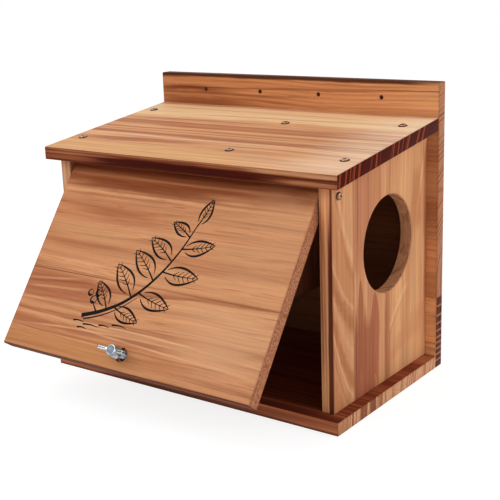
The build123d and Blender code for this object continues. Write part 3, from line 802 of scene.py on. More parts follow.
MERGE = 0.002 * MM


def new_object(name: str, mesh: Mesh) -> Object:
    """Puts a mesh in the scene as an object at the origin.

    Args:
        name: The object's name.
        mesh: Its mesh.

    Returns:
        The object.
    """
    thing = bpy.data.objects.new(name, mesh)
    bpy.context.scene.collection.objects.link(thing)
    return thing


def to_mesh(name: str, shape: Shape) -> Mesh:
    """Turns a shape with closed walls into a mesh with its faces outwards, and frees the shape.

    Args:
        name: The mesh's name.
        shape: The shape.

    Returns:
        The mesh.
    """
    bmesh.ops.recalc_face_normals(shape, faces=shape.faces)
    mesh = bpy.data.meshes.new(name)
    shape.to_mesh(mesh)
    shape.free()
    return mesh


def band(shape: Shape, first: list, second: list) -> None:
    """Joins two loops of points with faces.

    Args:
        shape: The shape that holds both loops.
        first: The points of one loop, or the one point of a pole.
        second: As many points of the other loop, or the one point of a pole.
    """
    for number in range(max(len(first), len(second))):
        here, there = ([loop[number % len(loop)], loop[(number + 1) % len(loop)]] for loop in (first, second))
        corners = list(dict.fromkeys([*here, *reversed(there)]))
        if len(corners) > 2:
            shape.faces.new(corners)


def lathe(profile: list[tuple[float, float]], sides: int = 48) -> Shape:
    """Turns a profile about the Z axis.

    Args:
        profile: Radius and height of each step, from one end on the axis to the other.
        sides: The number of sides.

    Returns:
        The closed shape.
    """
    shape = bmesh.new()
    turns = [2 * math.pi * number / sides for number in range(sides)]
    rings = [[shape.verts.new((radius * math.cos(turn), radius * math.sin(turn), height))
              for turn in (turns if radius else turns[:1])] for radius, height in profile]
    for lower, upper in zip(rings, rings[1:]):
        band(shape, lower, upper)
    return shape


def carve(piece: Object, cutters: list[Shape]) -> Object:
    """Cuts solids out of a piece.

    Args:
        piece: The piece that is cut, whose object goes.
        cutters: The solids, which are used up.

    Returns:
        The cut piece.
    """
    joined = bmesh.new()
    for shape in cutters:
        mesh = to_mesh("cutter", shape)
        joined.from_mesh(mesh)
        bpy.data.meshes.remove(mesh)
    tool = new_object("cutter", to_mesh("cutter", joined))
    step = piece.modifiers.new("holes", "BOOLEAN")
    step.operation, step.solver, step.object = "DIFFERENCE", "EXACT", tool
    return flatten(piece, tool)


def flatten(piece: Object, *spare: Object) -> Object:
    """Turns a piece with modifiers into a plain mesh.

    Args:
        piece: The piece, whose object goes.
        spare: Helper objects that go too.

    Returns:
        A new object of the same name.
    """
    graph = bpy.context.evaluated_depsgraph_get()
    mesh = bpy.data.meshes.new_from_object(piece.evaluated_get(graph), depsgraph=graph)
    name = piece.name
    for thing in (piece, *spare):
        bpy.data.objects.remove(thing)
    return new_object(name, mesh)


def finish_mesh(mesh: Mesh, angle: float = 32.0) -> None:
    """Merges doubles and smooths a mesh except at its corners.

    Args:
        mesh: The mesh.
        angle: The least angle of a corner, in degrees.
    """
    shape = bmesh.new()
    shape.from_mesh(mesh)
    bmesh.ops.remove_doubles(shape, verts=shape.verts, dist=MERGE)
    shape.to_mesh(mesh)
    shape.free()
    mesh.polygons.foreach_set("use_smooth", [True] * len(mesh.polygons))
    mesh.set_sharp_from_angle(angle=math.radians(angle))


def seat(piece: Object, node: str, body: str, slot: str) -> Object:
    """Puts a finished piece in place of its node.

    Args:
        piece: The piece.
        node: The node that it stands for.
        body: The body that it rides on.
        slot: Its slot of finish; not used.

    Returns:
        The piece.
    """
    piece.name = f"{node}_dressed"
    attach(piece, body)
    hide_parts(node)
    LOG.info("%s: %d faces", piece.name, len(piece.data.polygons))
    return piece


def inside(point: Vector, low: Vector, high: Vector, margin: float = 0.0) -> bool:
    """Whether a point is in a box that a margin makes wider."""
    return all(a - margin <= value <= b + margin for a, value, b in zip(low, point, high))


def rectangle(left: float, right: float, low: float, high: float) -> Outline:
    """The four corners of a rectangle, as an outline."""
    return ((left, low), (right, low), (right, high), (left, high))


# Boards


class Along(Enum):
    """The axis of the frame that an outline is drawn out along, and the outline's own two axes."""

    WIDTH = (X, Y, Z)
    DEPTH = (Y, X, Z)


@dataclass(frozen=True)
class Bore:
    """A stepped round hole, from its profile of radius and height above the surface."""

    PROBES: ClassVar[int] = 24

    place: Vector
    outward: Vector
    profile: Outline
    sides: int = 48

    def cutter(self) -> Shape:
        """The solid that the hole takes away.

        Returns:
            The solid in its place.
        """
        shape = lathe([(0.0, self.profile[0][1]), *self.profile, (0.0, self.profile[-1][1])], self.sides)
        turn = self.outward.to_track_quat("Z", "Y").to_matrix().to_4x4()
        bmesh.ops.transform(shape, matrix=Matrix.Translation(self.place) @ turn, verts=shape.verts)
        return shape

    def enters(self, low: Vector, high: Vector) -> bool:
        """Whether any of a few points along the hole's axis is in a box.

        Args:
            low: The box's lowest corner.
            high: Its highest corner.

        Returns:
            True if one is.
        """
        start, end = self.profile[0][1], self.profile[-1][1]
        steps = [start + (end - start) * number / self.PROBES for number in range(self.PROBES + 1)]
        return any(inside(self.place + self.outward * step, low, high) for step in steps)

    def turned_back(self, swing: Matrix) -> "Bore":
        """The same hole before a swing."""
        back = swing.inverted()
        return replace(self, place=back @ self.place, outward=(back.to_3x3() @ self.outward).normalized())


@dataclass(frozen=True)
class Board:
    """One board: an outline drawn out along an axis, with rounded edges, glued sides and holes."""

    RIM_MARGIN: ClassVar[float] = 1.5 * MM
    EASE_STEPS: ClassVar[int] = 3
    SAME_WAY: ClassVar[float] = 0.99
    LEFT_SEED: ClassVar[int] = 20
    LEFT_SIDE: ClassVar[tuple[Colour, Colour]] = ((230, 176, 135), (206, 150, 112))

    node: str
    body: str
    outline: Outline
    low: float
    high: float
    grain_along: Vector
    face: Vector
    along: Along = Along.WIDTH
    glued: tuple[Vector, ...] = ()
    bores: tuple[Bore, ...] = ()
    swing: Matrix = Matrix.Identity(4)
    ease: float = 0.9 * MM

    def blank(self) -> Object:
        """The board before its holes are cut.

        Returns:
            The board, in the scene.
        """
        shape = bmesh.new()
        verts = [shape.verts.new(corner) for corner in self.corners()]
        count = len(self.outline)
        low, high = verts[:count], verts[count:]
        shape.faces.new(low)
        shape.faces.new(high[::-1])
        band(shape, low, high)
        bmesh.ops.recalc_face_normals(shape, faces=shape.faces)
        shape.normal_update()
        sharp = [edge for edge in shape.edges
                 if not any(face.normal.dot(side) > self.SAME_WAY for face in edge.link_faces for side in self.glued)]
        bmesh.ops.bevel(shape, geom=sharp, offset=self.ease, segments=self.EASE_STEPS, profile=0.5, affect="EDGES")
        return new_object(self.node, to_mesh(self.node, shape))

    def build(self, drilled: list[Bore]) -> Object:
        """Builds, dresses and seats the board.

        Args:
            drilled: The holes of all screws, of which the board gets those that enter it.

        Returns:
            The board's object, in place of its node.
        """
        board = self.blank()
        low, high = (Vector(map(pick, zip(*self.corners()))) for pick in (min, max))
        entering = [bore.turned_back(self.swing) for bore in drilled]
        holes = [*self.bores, *(bore for bore in entering if bore.enters(low, high))]
        if holes:
            board = carve(board, [bore.cutter() for bore in holes])
        board.data.transform(self.swing)
        finish_mesh(board.data)
        # Screw heads on or near the board, round which its material paints shade.
        near = [self.swing @ bore.place for bore in entering if inside(bore.place, low, high, self.RIM_MARGIN)]
        board.data.materials.append(self.dress(near))
        return seat(board, self.node, self.body, "pine_door" if self.body == "door" else "pine_case")

    def dress(self, rims: list[Vector]) -> bpy.types.Material:
        """The board's material, set out along its own grain.

        Args:
            rims: The middles of the screw heads on the board, round which the material paints shade.

        Returns:
            The material.
        """
        sides = (self.grain_along, self.face.cross(self.grain_along), self.face)
        axes = Matrix(sides).transposed()
        spans = [[corner.dot(side) for corner in self.corners()] for side in sides]
        middle = axes @ Vector([(min(span) + max(span)) / 2 for span in spans])
        half = Vector([(max(span) - min(span)) / 2 for span in spans])
        turn = (self.swing.to_3x3() @ axes).to_euler("XYZ")
        return self.finish.material(self.swing @ middle, turn, half, rims)

    @property
    def finish(self) -> PineFinish:
        """The board's own finish; both walls share three, with the left one cut from other logs.

        Returns:
            The finish.
        """
        side, _, rest = self.node.partition("_")
        if side != "left":
            return replace(PINES.get(self.node) or PINES[rest], name=self.node)
        shared = PINES[rest]
        grain = replace(shared.grain, seed=shared.grain.seed + self.LEFT_SEED)
        faces = tuple(stripe for stripe in shared.stripes if stripe.on is not On.SIDE)
        return replace(shared, name=self.node, grain=grain, side=self.LEFT_SIDE, stripes=faces)

    def corners(self) -> list[Vector]:
        """The corners of the uncut board, before any swing."""
        axis, right, up = self.along.value
        return [axis * reach + right * u + up * v for reach in (self.low, self.high) for u, v in self.outline]


@dataclass(frozen=True)
class HouseSizes:
    """The sizes that the boards share."""

    board: float = 12 * MM
    width: float = 320 * MM
    wall_x: float = 149 * MM
    wall_depth: float = 165 * MM
    base_reach: float = 12 * MM
    back_rise: float = 31 * MM
    back_seam: float = 69 * MM
    slope: float = math.radians(7)
    roof_reach: float = 9 * MM
    entrance_radius: float = 43 * MM
    entrance_setback: float = 72 * MM
    entrance_height: float = 137 * MM
    rear_stave: float = 70.5 * MM
    front_stave: float = 33 * MM
    pivot_height: float = 195 * MM
    wall_above_pivot: float = 9.65 * MM
    pivot_setback: float = 10 * MM
    hanging_radius: float = 2.1 * MM
    hanging_drop: float = 15.5 * MM
    hanging_pitch: float = 68 * MM
    rim_ease: float = 0.8 * MM
    latch_height: float = 31 * MM

    @property
    def join(self) -> float:
        """The back board's front face, which the other boards meet."""
        return self.rear - self.board

    @property
    def rear(self) -> float:
        """The back board's rear face."""
        return (self.wall_depth + self.base_reach + self.board) / 2

    @property
    def front(self) -> float:
        """The walls' front edges."""
        return self.join - self.wall_depth

    @property
    def roof_way(self) -> Vector:
        """The way that the roof faces."""
        return Vector((0, -math.sin(self.slope), math.cos(self.slope)))

    def underside(self, y: float) -> float:
        """Height of the roof's lower face at a place along Y."""
        return self.pivot_height + self.wall_above_pivot + (y - self.front) * math.tan(self.slope)

    def top(self, y: float) -> float:
        """Height of the roof's upper face at a place along Y."""
        return self.underside(y) + self.board / math.cos(self.slope)

    def under_roof(self, near: float, far: float, low: float) -> Outline:
        """The outline of a board from its lower edge to the roof, between two places along Y."""
        return ((near, low), (far, low), (far, self.underside(far)), (near, self.underside(near)))


@dataclass(frozen=True)
class Case:
    """The boards that don't move."""

    sizes: HouseSizes = HouseSizes()
    latch_hole_radius: float = 5.1 * MM
    latch_hole_depth: float = 10.3 * MM
    hanging_holes: int = 4
    hanging_sides: int = 24
    entrance_sides: int = 96
    body: str = "case"

    def build(self, drilled: list[Bore]) -> None:
        """Builds all boards of the case, with the holes of all screws.

        Args:
            drilled: The holes.
        """
        single = (self.base(), self.roof(), self.partition(), self.block())
        for board in (*self.back(), *self.wall(-1), *self.wall(1), *single):
            board.build(drilled)

    def back(self) -> list[Board]:
        """The two glued boards of the back.

        Returns:
            The lower and the upper board.
        """
        s = self.sizes
        height = s.top(s.join) + s.back_rise
        common = {"body": self.body, "low": s.join, "high": s.rear, "along": Along.DEPTH, "grain_along": X, "face": -Y}
        hole = ((s.hanging_radius, s.board), (s.hanging_radius, -2 * s.board))
        places = [(number - (self.hanging_holes - 1) / 2) * s.hanging_pitch for number in range(self.hanging_holes)]
        hanging = tuple(Bore(Vector((x, s.rear, height - s.hanging_drop)), Y, hole, self.hanging_sides) for x in places)
        lower = rectangle(-s.width / 2, s.width / 2, 0, s.back_seam)
        upper = rectangle(-s.width / 2, s.width / 2, s.back_seam, height)
        return [Board("back_lower_board", outline=lower, glued=(Z,), **common),
                Board("back_upper_board", outline=upper, glued=(-Z,), bores=hanging, **common)]

    def base(self) -> Board:
        """The floor board.

        Returns:
            The board.
        """
        s = self.sizes
        outline = rectangle(s.front - s.base_reach, s.join, 0, s.board)
        return Board("base_board", self.body, outline, -s.width / 2, s.width / 2, X, Z)

    def roof(self) -> Board:
        """The sloping roof board, cut plumb at both ends.

        Returns:
            The board.
        """
        s = self.sizes
        front = s.front - s.roof_reach
        outline = ((front, s.underside(front)), (s.join, s.underside(s.join)),
                   (s.join, s.top(s.join)), (front, s.top(front)))
        return Board("roof_board", self.body, outline, -s.width / 2, s.width / 2, X, s.roof_way)

    def wall(self, side: int) -> list[Board]:
        """The three glued boards of one side wall.

        Args:
            side: 1 for the right wall with the entrance, -1 for the left one.

        Returns:
            The front, middle and rear boards.
        """
        s = self.sizes
        name = "right" if side > 0 else "left"
        seams = [s.front, s.front + s.front_stave, s.join - s.rear_stave, s.join]
        low, high = sorted((side * s.wall_x, side * (s.wall_x - s.board)))
        bores = ()
        if side > 0:
            place = Vector((s.wall_x, s.join - s.entrance_setback, s.entrance_height))
            r, ease, over = s.entrance_radius, s.rim_ease, s.board
            hole = ((r + ease + over, over), (r, -ease), (r, ease - s.board), (r + ease + over, -s.board - over))
            bores = (Bore(place, X, hole, self.entrance_sides),)
        boards = []
        for number, part in enumerate(("front", "middle", "rear")):
            outline = s.under_roof(seams[number], seams[number + 1], s.board)
            glued = tuple(way for way, here in ((-Y, number > 0), (Y, number < 2)) if here)
            boards.append(Board(f"{name}_wall_{part}_board", self.body, outline, low, high, Z, X * side,
                                glued=glued, bores=bores if number else ()))
        return boards

    def partition(self) -> Board:
        """The inner board that hangs from the roof.

        Returns:
            The board.
        """
        low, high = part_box("partition")
        outline = self.sizes.under_roof(low.y, self.sizes.join, low.z)
        return Board("partition", self.body, outline, low.x, high.x, Z, X)

    def block(self) -> Board:
        """The block behind the closed door.

        Returns:
            The block.
        """
        low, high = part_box("latch_block")
        place = Vector((0, low.y, self.sizes.latch_height))
        hole = ((self.latch_hole_radius, self.latch_hole_depth), (self.latch_hole_radius, -self.latch_hole_depth))
        return Board("latch_block", self.body, rectangle(low.y, high.y, low.z, high.z), low.x, high.x, X, -Y,
                     bores=(Bore(place, -Y, hole),))


@dataclass(frozen=True)
class Door:
    """The hung door: two glued boards that swing about the pivot."""

    sizes: HouseSizes = HouseSizes()
    half_width: float = 136.2 * MM
    below_pivot: float = 178.5 * MM
    above_pivot: float = 7.5 * MM
    seam_drop: float = 103 * MM
    opening: float = math.radians(36)
    hub_stand: float = 12 * MM
    hub_pocket_radius: float = 6.3 * MM
    insert_front: float = 2.2 * MM
    insert_radius: float = 4.52 * MM
    insert_seat: float = -2.95 * MM
    ring_pocket_radius: float = 6.7 * MM
    body: str = "door"

    @property
    def pivot(self) -> Vector:
        """The middle of the pivot's axis."""
        return Vector((0, self.sizes.front + self.sizes.pivot_setback, self.sizes.pivot_height))

    @property
    def face_y(self) -> float:
        """The door's front face along Y, while it is shut."""
        return self.pivot.y - self.sizes.board / 2

    @property
    def swing(self) -> Matrix:
        """The swing from shut to the door's place at rest."""
        turn = Matrix.Rotation(-self.opening, 4, "X")
        return Matrix.Translation(self.pivot) @ turn @ Matrix.Translation(-self.pivot)

    @property
    def latch_seat(self) -> Matrix:
        """The hub's base frame of the wing screw, with Z outwards from the door's face."""
        base = Vector((0, self.pivot.y - self.hub_stand, self.sizes.latch_height))
        return self.swing @ Matrix.Translation(base) @ Matrix((X, Z, -Y)).transposed().to_4x4()

    def latch_bore(self) -> Bore:
        """The stepped hole for the wing screw, its insert and its ring, from the middle of the door's thickness.

        Returns:
            The hole, before the door's swing.
        """
        over = self.sizes.board
        steps = ((self.hub_pocket_radius, over, self.insert_front),
                 (self.insert_radius, self.insert_front, self.insert_seat),
                 (self.ring_pocket_radius, self.insert_seat, -over))
        profile = tuple((radius, height) for radius, *ends in steps for height in ends)
        return Bore(Vector((0, self.pivot.y, self.sizes.latch_height)), -Y, profile)

    def build(self, drilled: list[Bore]) -> None:
        """Builds both boards, with the holes of all screws.

        Args:
            drilled: The holes.
        """
        pivot, half = self.pivot, self.half_width
        bottom, seam, top = pivot.z - self.below_pivot, pivot.z - self.seam_drop, pivot.z + self.above_pivot
        common = {"body": self.body, "low": self.face_y, "high": pivot.y + self.sizes.board / 2,
                  "along": Along.DEPTH, "grain_along": X, "face": -Y, "swing": self.swing}
        lower, upper = rectangle(-half, half, bottom, seam), rectangle(-half, half, seam, top)
        Board("door_lower_board", outline=lower, glued=(Z,), bores=(self.latch_bore(),), **common).build(drilled)
        Board("door_upper_board", outline=upper, glued=(-Z,), **common).build(drilled)


# Screws


class HeadStyle(Enum):
    """The shape of a screw's head."""

    COUNTERSUNK = "countersunk"
    RAISED = "raised"
    PAN = "pan"


@dataclass(frozen=True)
class ScrewSizes:
    """The sizes of one kind of screw, which are the named inputs of its node tree."""

    head_radius: float = 3.8 * MM
    head_height: float = 2.0 * MM
    crown_height: float = 0.0
    rim: float = 0.3 * MM
    shank_radius: float = 1.8 * MM
    thread_depth: float = 0.45 * MM
    pitch: float = 1.6 * MM
    length: float = 30 * MM
    point_length: float = 5 * MM
    tip_radius: float = 0.4 * MM
    smooth_length: float = 6 * MM
    recess_length: float = 4.2 * MM
    recess_width: float = 0.9 * MM
    recess_depth: float = 1.5 * MM


class ScrewTree:
    """Builds the geometry node tree that sets one kind of screw on every point of a mesh."""

    SIDES = 20
    ROWS = 84
    HEAD_SHARE = 0.14
    SEED = 7
    CROWN_SLOPE = 0.77
    BULGE, BULGE_POWER = 0.42, 3.0
    PAN_SHADE, FLAT_SHADE = (0.66, 1.0, 0.7), (0.76, 0.9)

    def __init__(self, style: HeadStyle) -> None:
        """Starts the tree, with an input for each size and one for the material.

        Args:
            style: The kind of head.
        """
        self.style = style
        sizes = ", ".join(field.name for field in fields(ScrewSizes))
        inputs = {"Geometry": "Geometry", "Float": sizes, "Material": "material"}
        self.tree, self.given = new_group(f"{style.value}_screws", inputs, {"Geometry": "Geometry"}, "GeometryNodeTree")

    def build(self) -> bpy.types.NodeTree:
        """Builds the tree.

        Returns:
            The finished tree.
        """
        tree = self.tree
        screw = self.shaded(self.recess(self.body()))
        outward = tree.out("GeometryNodeInputNamedAttribute", {"Name": "outward"}, data_type="FLOAT_VECTOR")
        upright = tree.out("FunctionNodeAlignRotationToVector", {"Vector": outward}, axis="Z")
        limits = {"Max_001": math.pi / 2, "Seed": self.SEED}
        chance = tree.out("FunctionNodeRandomValue", limits, "Value_001", data_type="FLOAT")
        about = tree.out("FunctionNodeAxisAngleToRotation", {"Axis": (0, 0, 1), "Angle": chance})
        turned = tree.out("FunctionNodeRotateRotation", {0: upright, 1: about}, rotation_space="LOCAL")
        inputs = {"Points": self.given["Geometry"], "Instance": screw, "Rotation": turned}
        real = tree.out("GeometryNodeRealizeInstances", {0: tree.out("GeometryNodeInstanceOnPoints", inputs)})
        inputs = {"Geometry": real, "Material": self.given["material"]}
        return tree.output({0: tree.out("GeometryNodeSetMaterial", inputs)})

    def body(self) -> Value:
        """The screw's outside, from the head's top at 0 down to the tip.

        Returns:
            The screw without its cross.
        """
        tree, given, share = self.tree, self.given, self.HEAD_SHARE
        inputs = {"Vertices": self.SIDES, "Side Segments": self.ROWS, "Radius": 1.0, "Depth": 1.0}
        rod = tree.out("GeometryNodeMeshCylinder", inputs, fill_type="NGON")
        x, y, z = tree.separate(tree.out("GeometryNodeInputPosition"))
        row = 0.5 - z
        in_head = tree.math("MINIMUM", row, share) / share
        past = tree.math("MAXIMUM", row - share, 0.0) / (1.0 - share)
        shank_depth = past * (given["length"] - given["head_height"])
        depth = in_head * given["head_height"] + shank_depth
        turn = tree.math("ARCTAN2", y, x) / (2 * math.pi)
        tooth = abs(tree.math("FRACT", depth / given["pitch"] + turn).scaled(2.0, -1.0))
        threaded = tree.math("GREATER_THAN", shank_depth, given["smooth_length"])
        shank = given["shank_radius"] - tooth * given["thread_depth"] * threaded
        taper = tree.math("DIVIDE", given["length"] - depth, given["point_length"], clamp=True)
        shank = taper.scaled(shank - given["tip_radius"], given["tip_radius"])
        if self.style is HeadStyle.PAN:
            fall = tree.math("POWER", 1.0 - in_head, self.BULGE_POWER) * self.BULGE
            head = given["head_radius"] * (1.0 - fall)
            radius = tree.math("GREATER_THAN", past, 0.0).scaled(shank - head, head)
        else:
            below = tree.math("MAXIMUM", depth - (given["rim"] + given["crown_height"]), 0.0)
            above = tree.math("MAXIMUM", given["crown_height"] - depth, 0.0)
            head = given["head_radius"] - above.scaled(self.CROWN_SLOPE, below)
            radius = tree.math("MAXIMUM", head, shank)
        place = tree.combine(x * radius, y * radius, depth * -1.0)
        return tree.out("GeometryNodeSetPosition", {"Geometry": rod, "Position": place})

    def recess(self, screw: Value) -> Value:
        """Cuts the cross into the head.

        Args:
            screw: The screw without it.

        Returns:
            The screw with it.
        """
        tree, long, short = self.tree, self.given["recess_length"], self.given["recess_width"]
        height = self.given["recess_depth"] * 2.0
        cut = tree.add("GeometryNodeMeshBoolean", {"Mesh 1": screw}, operation="DIFFERENCE", solver="EXACT")
        for a, b in ((long, short), (short, long)):
            tree.fill(cut, {"Mesh 2": tree.out("GeometryNodeMeshCube", {"Size": tree.combine(a, b, height)})})
        return tree.named(cut)["Mesh"]

    def shaded(self, screw: Value) -> Value:
        """Marks the head's rim and all below it for painted shade, a darker colour of the metal there.

        Args:
            screw: The screw.

        Returns:
            The marked screw.
        """
        x, y, _ = self.tree.separate(self.tree.out("GeometryNodeInputPosition"))
        share = self.tree.math("SQRT", x * x + y * y) / self.given["head_radius"]
        mark = share.ramp(*(self.PAN_SHADE if self.style is HeadStyle.PAN else self.FLAT_SHADE))
        inputs = {"Geometry": screw, "Name": SHADE, "Value": mark}
        return self.tree.out("GeometryNodeStoreNamedAttribute", inputs, data_type="FLOAT")


@dataclass(frozen=True)
class Screws:
    """All screws of one node, which share one mesh."""

    FIT: ClassVar[float] = 0.05 * MM
    OVER: ClassVar[float] = 6 * MM
    BORE_SIDES: ClassVar[int] = 24
    TOP_SPREAD: ClassVar[float] = 0.02 * MM
    MERGE: ClassVar[float] = 0.001 * MM

    node: str
    body: str
    outward: Vector
    slot: str
    sizes: ScrewSizes = ScrewSizes()
    style: HeadStyle = HeadStyle.COUNTERSUNK
    ring: float = 0.05 * MM

    def heads(self) -> list[Vector]:
        """The middle of each head's top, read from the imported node.

        Returns:
            The middles, in order of their places.
        """
        shape = bmesh.new()
        shape.from_mesh(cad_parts[self.node].data)
        bmesh.ops.remove_doubles(shape, verts=shape.verts, dist=self.MERGE)
        places, left = [], set(shape.verts)
        while left:
            island, edge = set(), {left.pop()}
            while edge:
                vert = edge.pop()
                island.add(vert)
                edge |= {other.other_vert(vert) for other in vert.link_edges} - island
            left -= island
            top = max(vert.co.dot(self.outward) for vert in island)
            rim = [vert.co for vert in island if vert.co.dot(self.outward) > top - self.TOP_SPREAD]
            places.append(sum(rim, Vector()) / len(rim))
        shape.free()
        return sorted(places, key=lambda place: tuple(round(value, 5) for value in place))

    def bores(self) -> list[Bore]:
        """The holes that the screws fill, a little wider than they are.

        Returns:
            One hole for each screw.
        """
        s = self.sizes
        shank = s.shank_radius + self.FIT
        profile = [(shank, s.point_length - s.length), (s.tip_radius + self.FIT, -s.length - self.FIT)]
        if self.style is HeadStyle.PAN:
            profile = [(shank, 0.0), *profile]
        else:
            head, flat = s.head_radius + self.ring, -s.rim - s.crown_height
            profile = [(head, self.OVER), (head, flat), (shank, flat - s.head_radius + s.shank_radius), *profile]
        return [Bore(place, self.outward, tuple(profile), self.BORE_SIDES) for place in self.heads()]

    def build(self, tree: bpy.types.NodeTree, material: bpy.types.Material) -> Object:
        """Sets the screws in place of their node.

        Args:
            tree: The node tree for the head's style.
            material: The metal.

        Returns:
            The screws as one object.
        """
        places = self.heads()
        mesh = bpy.data.meshes.new(self.node)
        mesh.from_pydata([tuple(place) for place in places], [], [])
        ways = mesh.attributes.new("outward", "FLOAT_VECTOR", "POINT")
        ways.data.foreach_set("vector", [value for _ in places for value in self.outward])
        points = new_object(self.node, mesh)
        step = points.modifiers.new("screws", "NODES")
        step.node_group = tree
        values = {**vars(self.sizes), "material": material}
        for item in tree.interface.items_tree:
            if item.in_out == "INPUT" and item.name in values:
                step[item.identifier] = values[item.name]
        screws = flatten(points)
        finish_mesh(screws.data)
        return seat(screws, self.node, self.body, self.slot)


@dataclass(frozen=True)
class Fixings:
    """Every screw of the house."""

    roof_way: Vector = HouseSizes().roof_way
    dark: PlatedFinish = PlatedFinish("dark_screw_metal", (196, 158, 130), (128, 92, 70), 0.22, 0.42, (66, 34, 20))

    def groups(self) -> list[Screws]:
        """Every group of screws with its sizes.

        Returns:
            The groups.
        """
        short = ScrewSizes(length=20 * MM)
        raised = ScrewSizes(head_height=3.3 * MM, crown_height=1.3 * MM, length=31.3 * MM)
        pivot = ScrewSizes(head_radius=3.4 * MM, head_height=2.6 * MM, shank_radius=2.0 * MM, length=34.6 * MM,
                           point_length=0.9 * MM, tip_radius=1.1 * MM, smooth_length=12.5 * MM)
        return [
            Screws("roof_screws", "case", self.roof_way, "dark_zinc", raised, HeadStyle.RAISED, 0.45 * MM),
            Screws("base_screws", "case", -Z, "dark_zinc"),
            Screws("latch_block_screws", "case", -Z, "dark_zinc", short),
            Screws("back_screws", "case", Y, "dark_zinc"),
            Screws("left_pivot_screw", "door", -X, "dark_zinc", pivot, HeadStyle.PAN),
            Screws("right_pivot_screw", "door", X, "dark_zinc", pivot, HeadStyle.PAN),
        ]

    def bores(self) -> list[Bore]:
        """The holes of all screws."""
        return [bore for group in self.groups() for bore in group.bores()]

    def build(self) -> None:
        """Builds all groups of screws."""
        metal = self.dark.material()
        trees = {style: ScrewTree(style).build() for style in HeadStyle}
        for group in self.groups():
            group.build(trees[group.style], metal)


# Wing screw


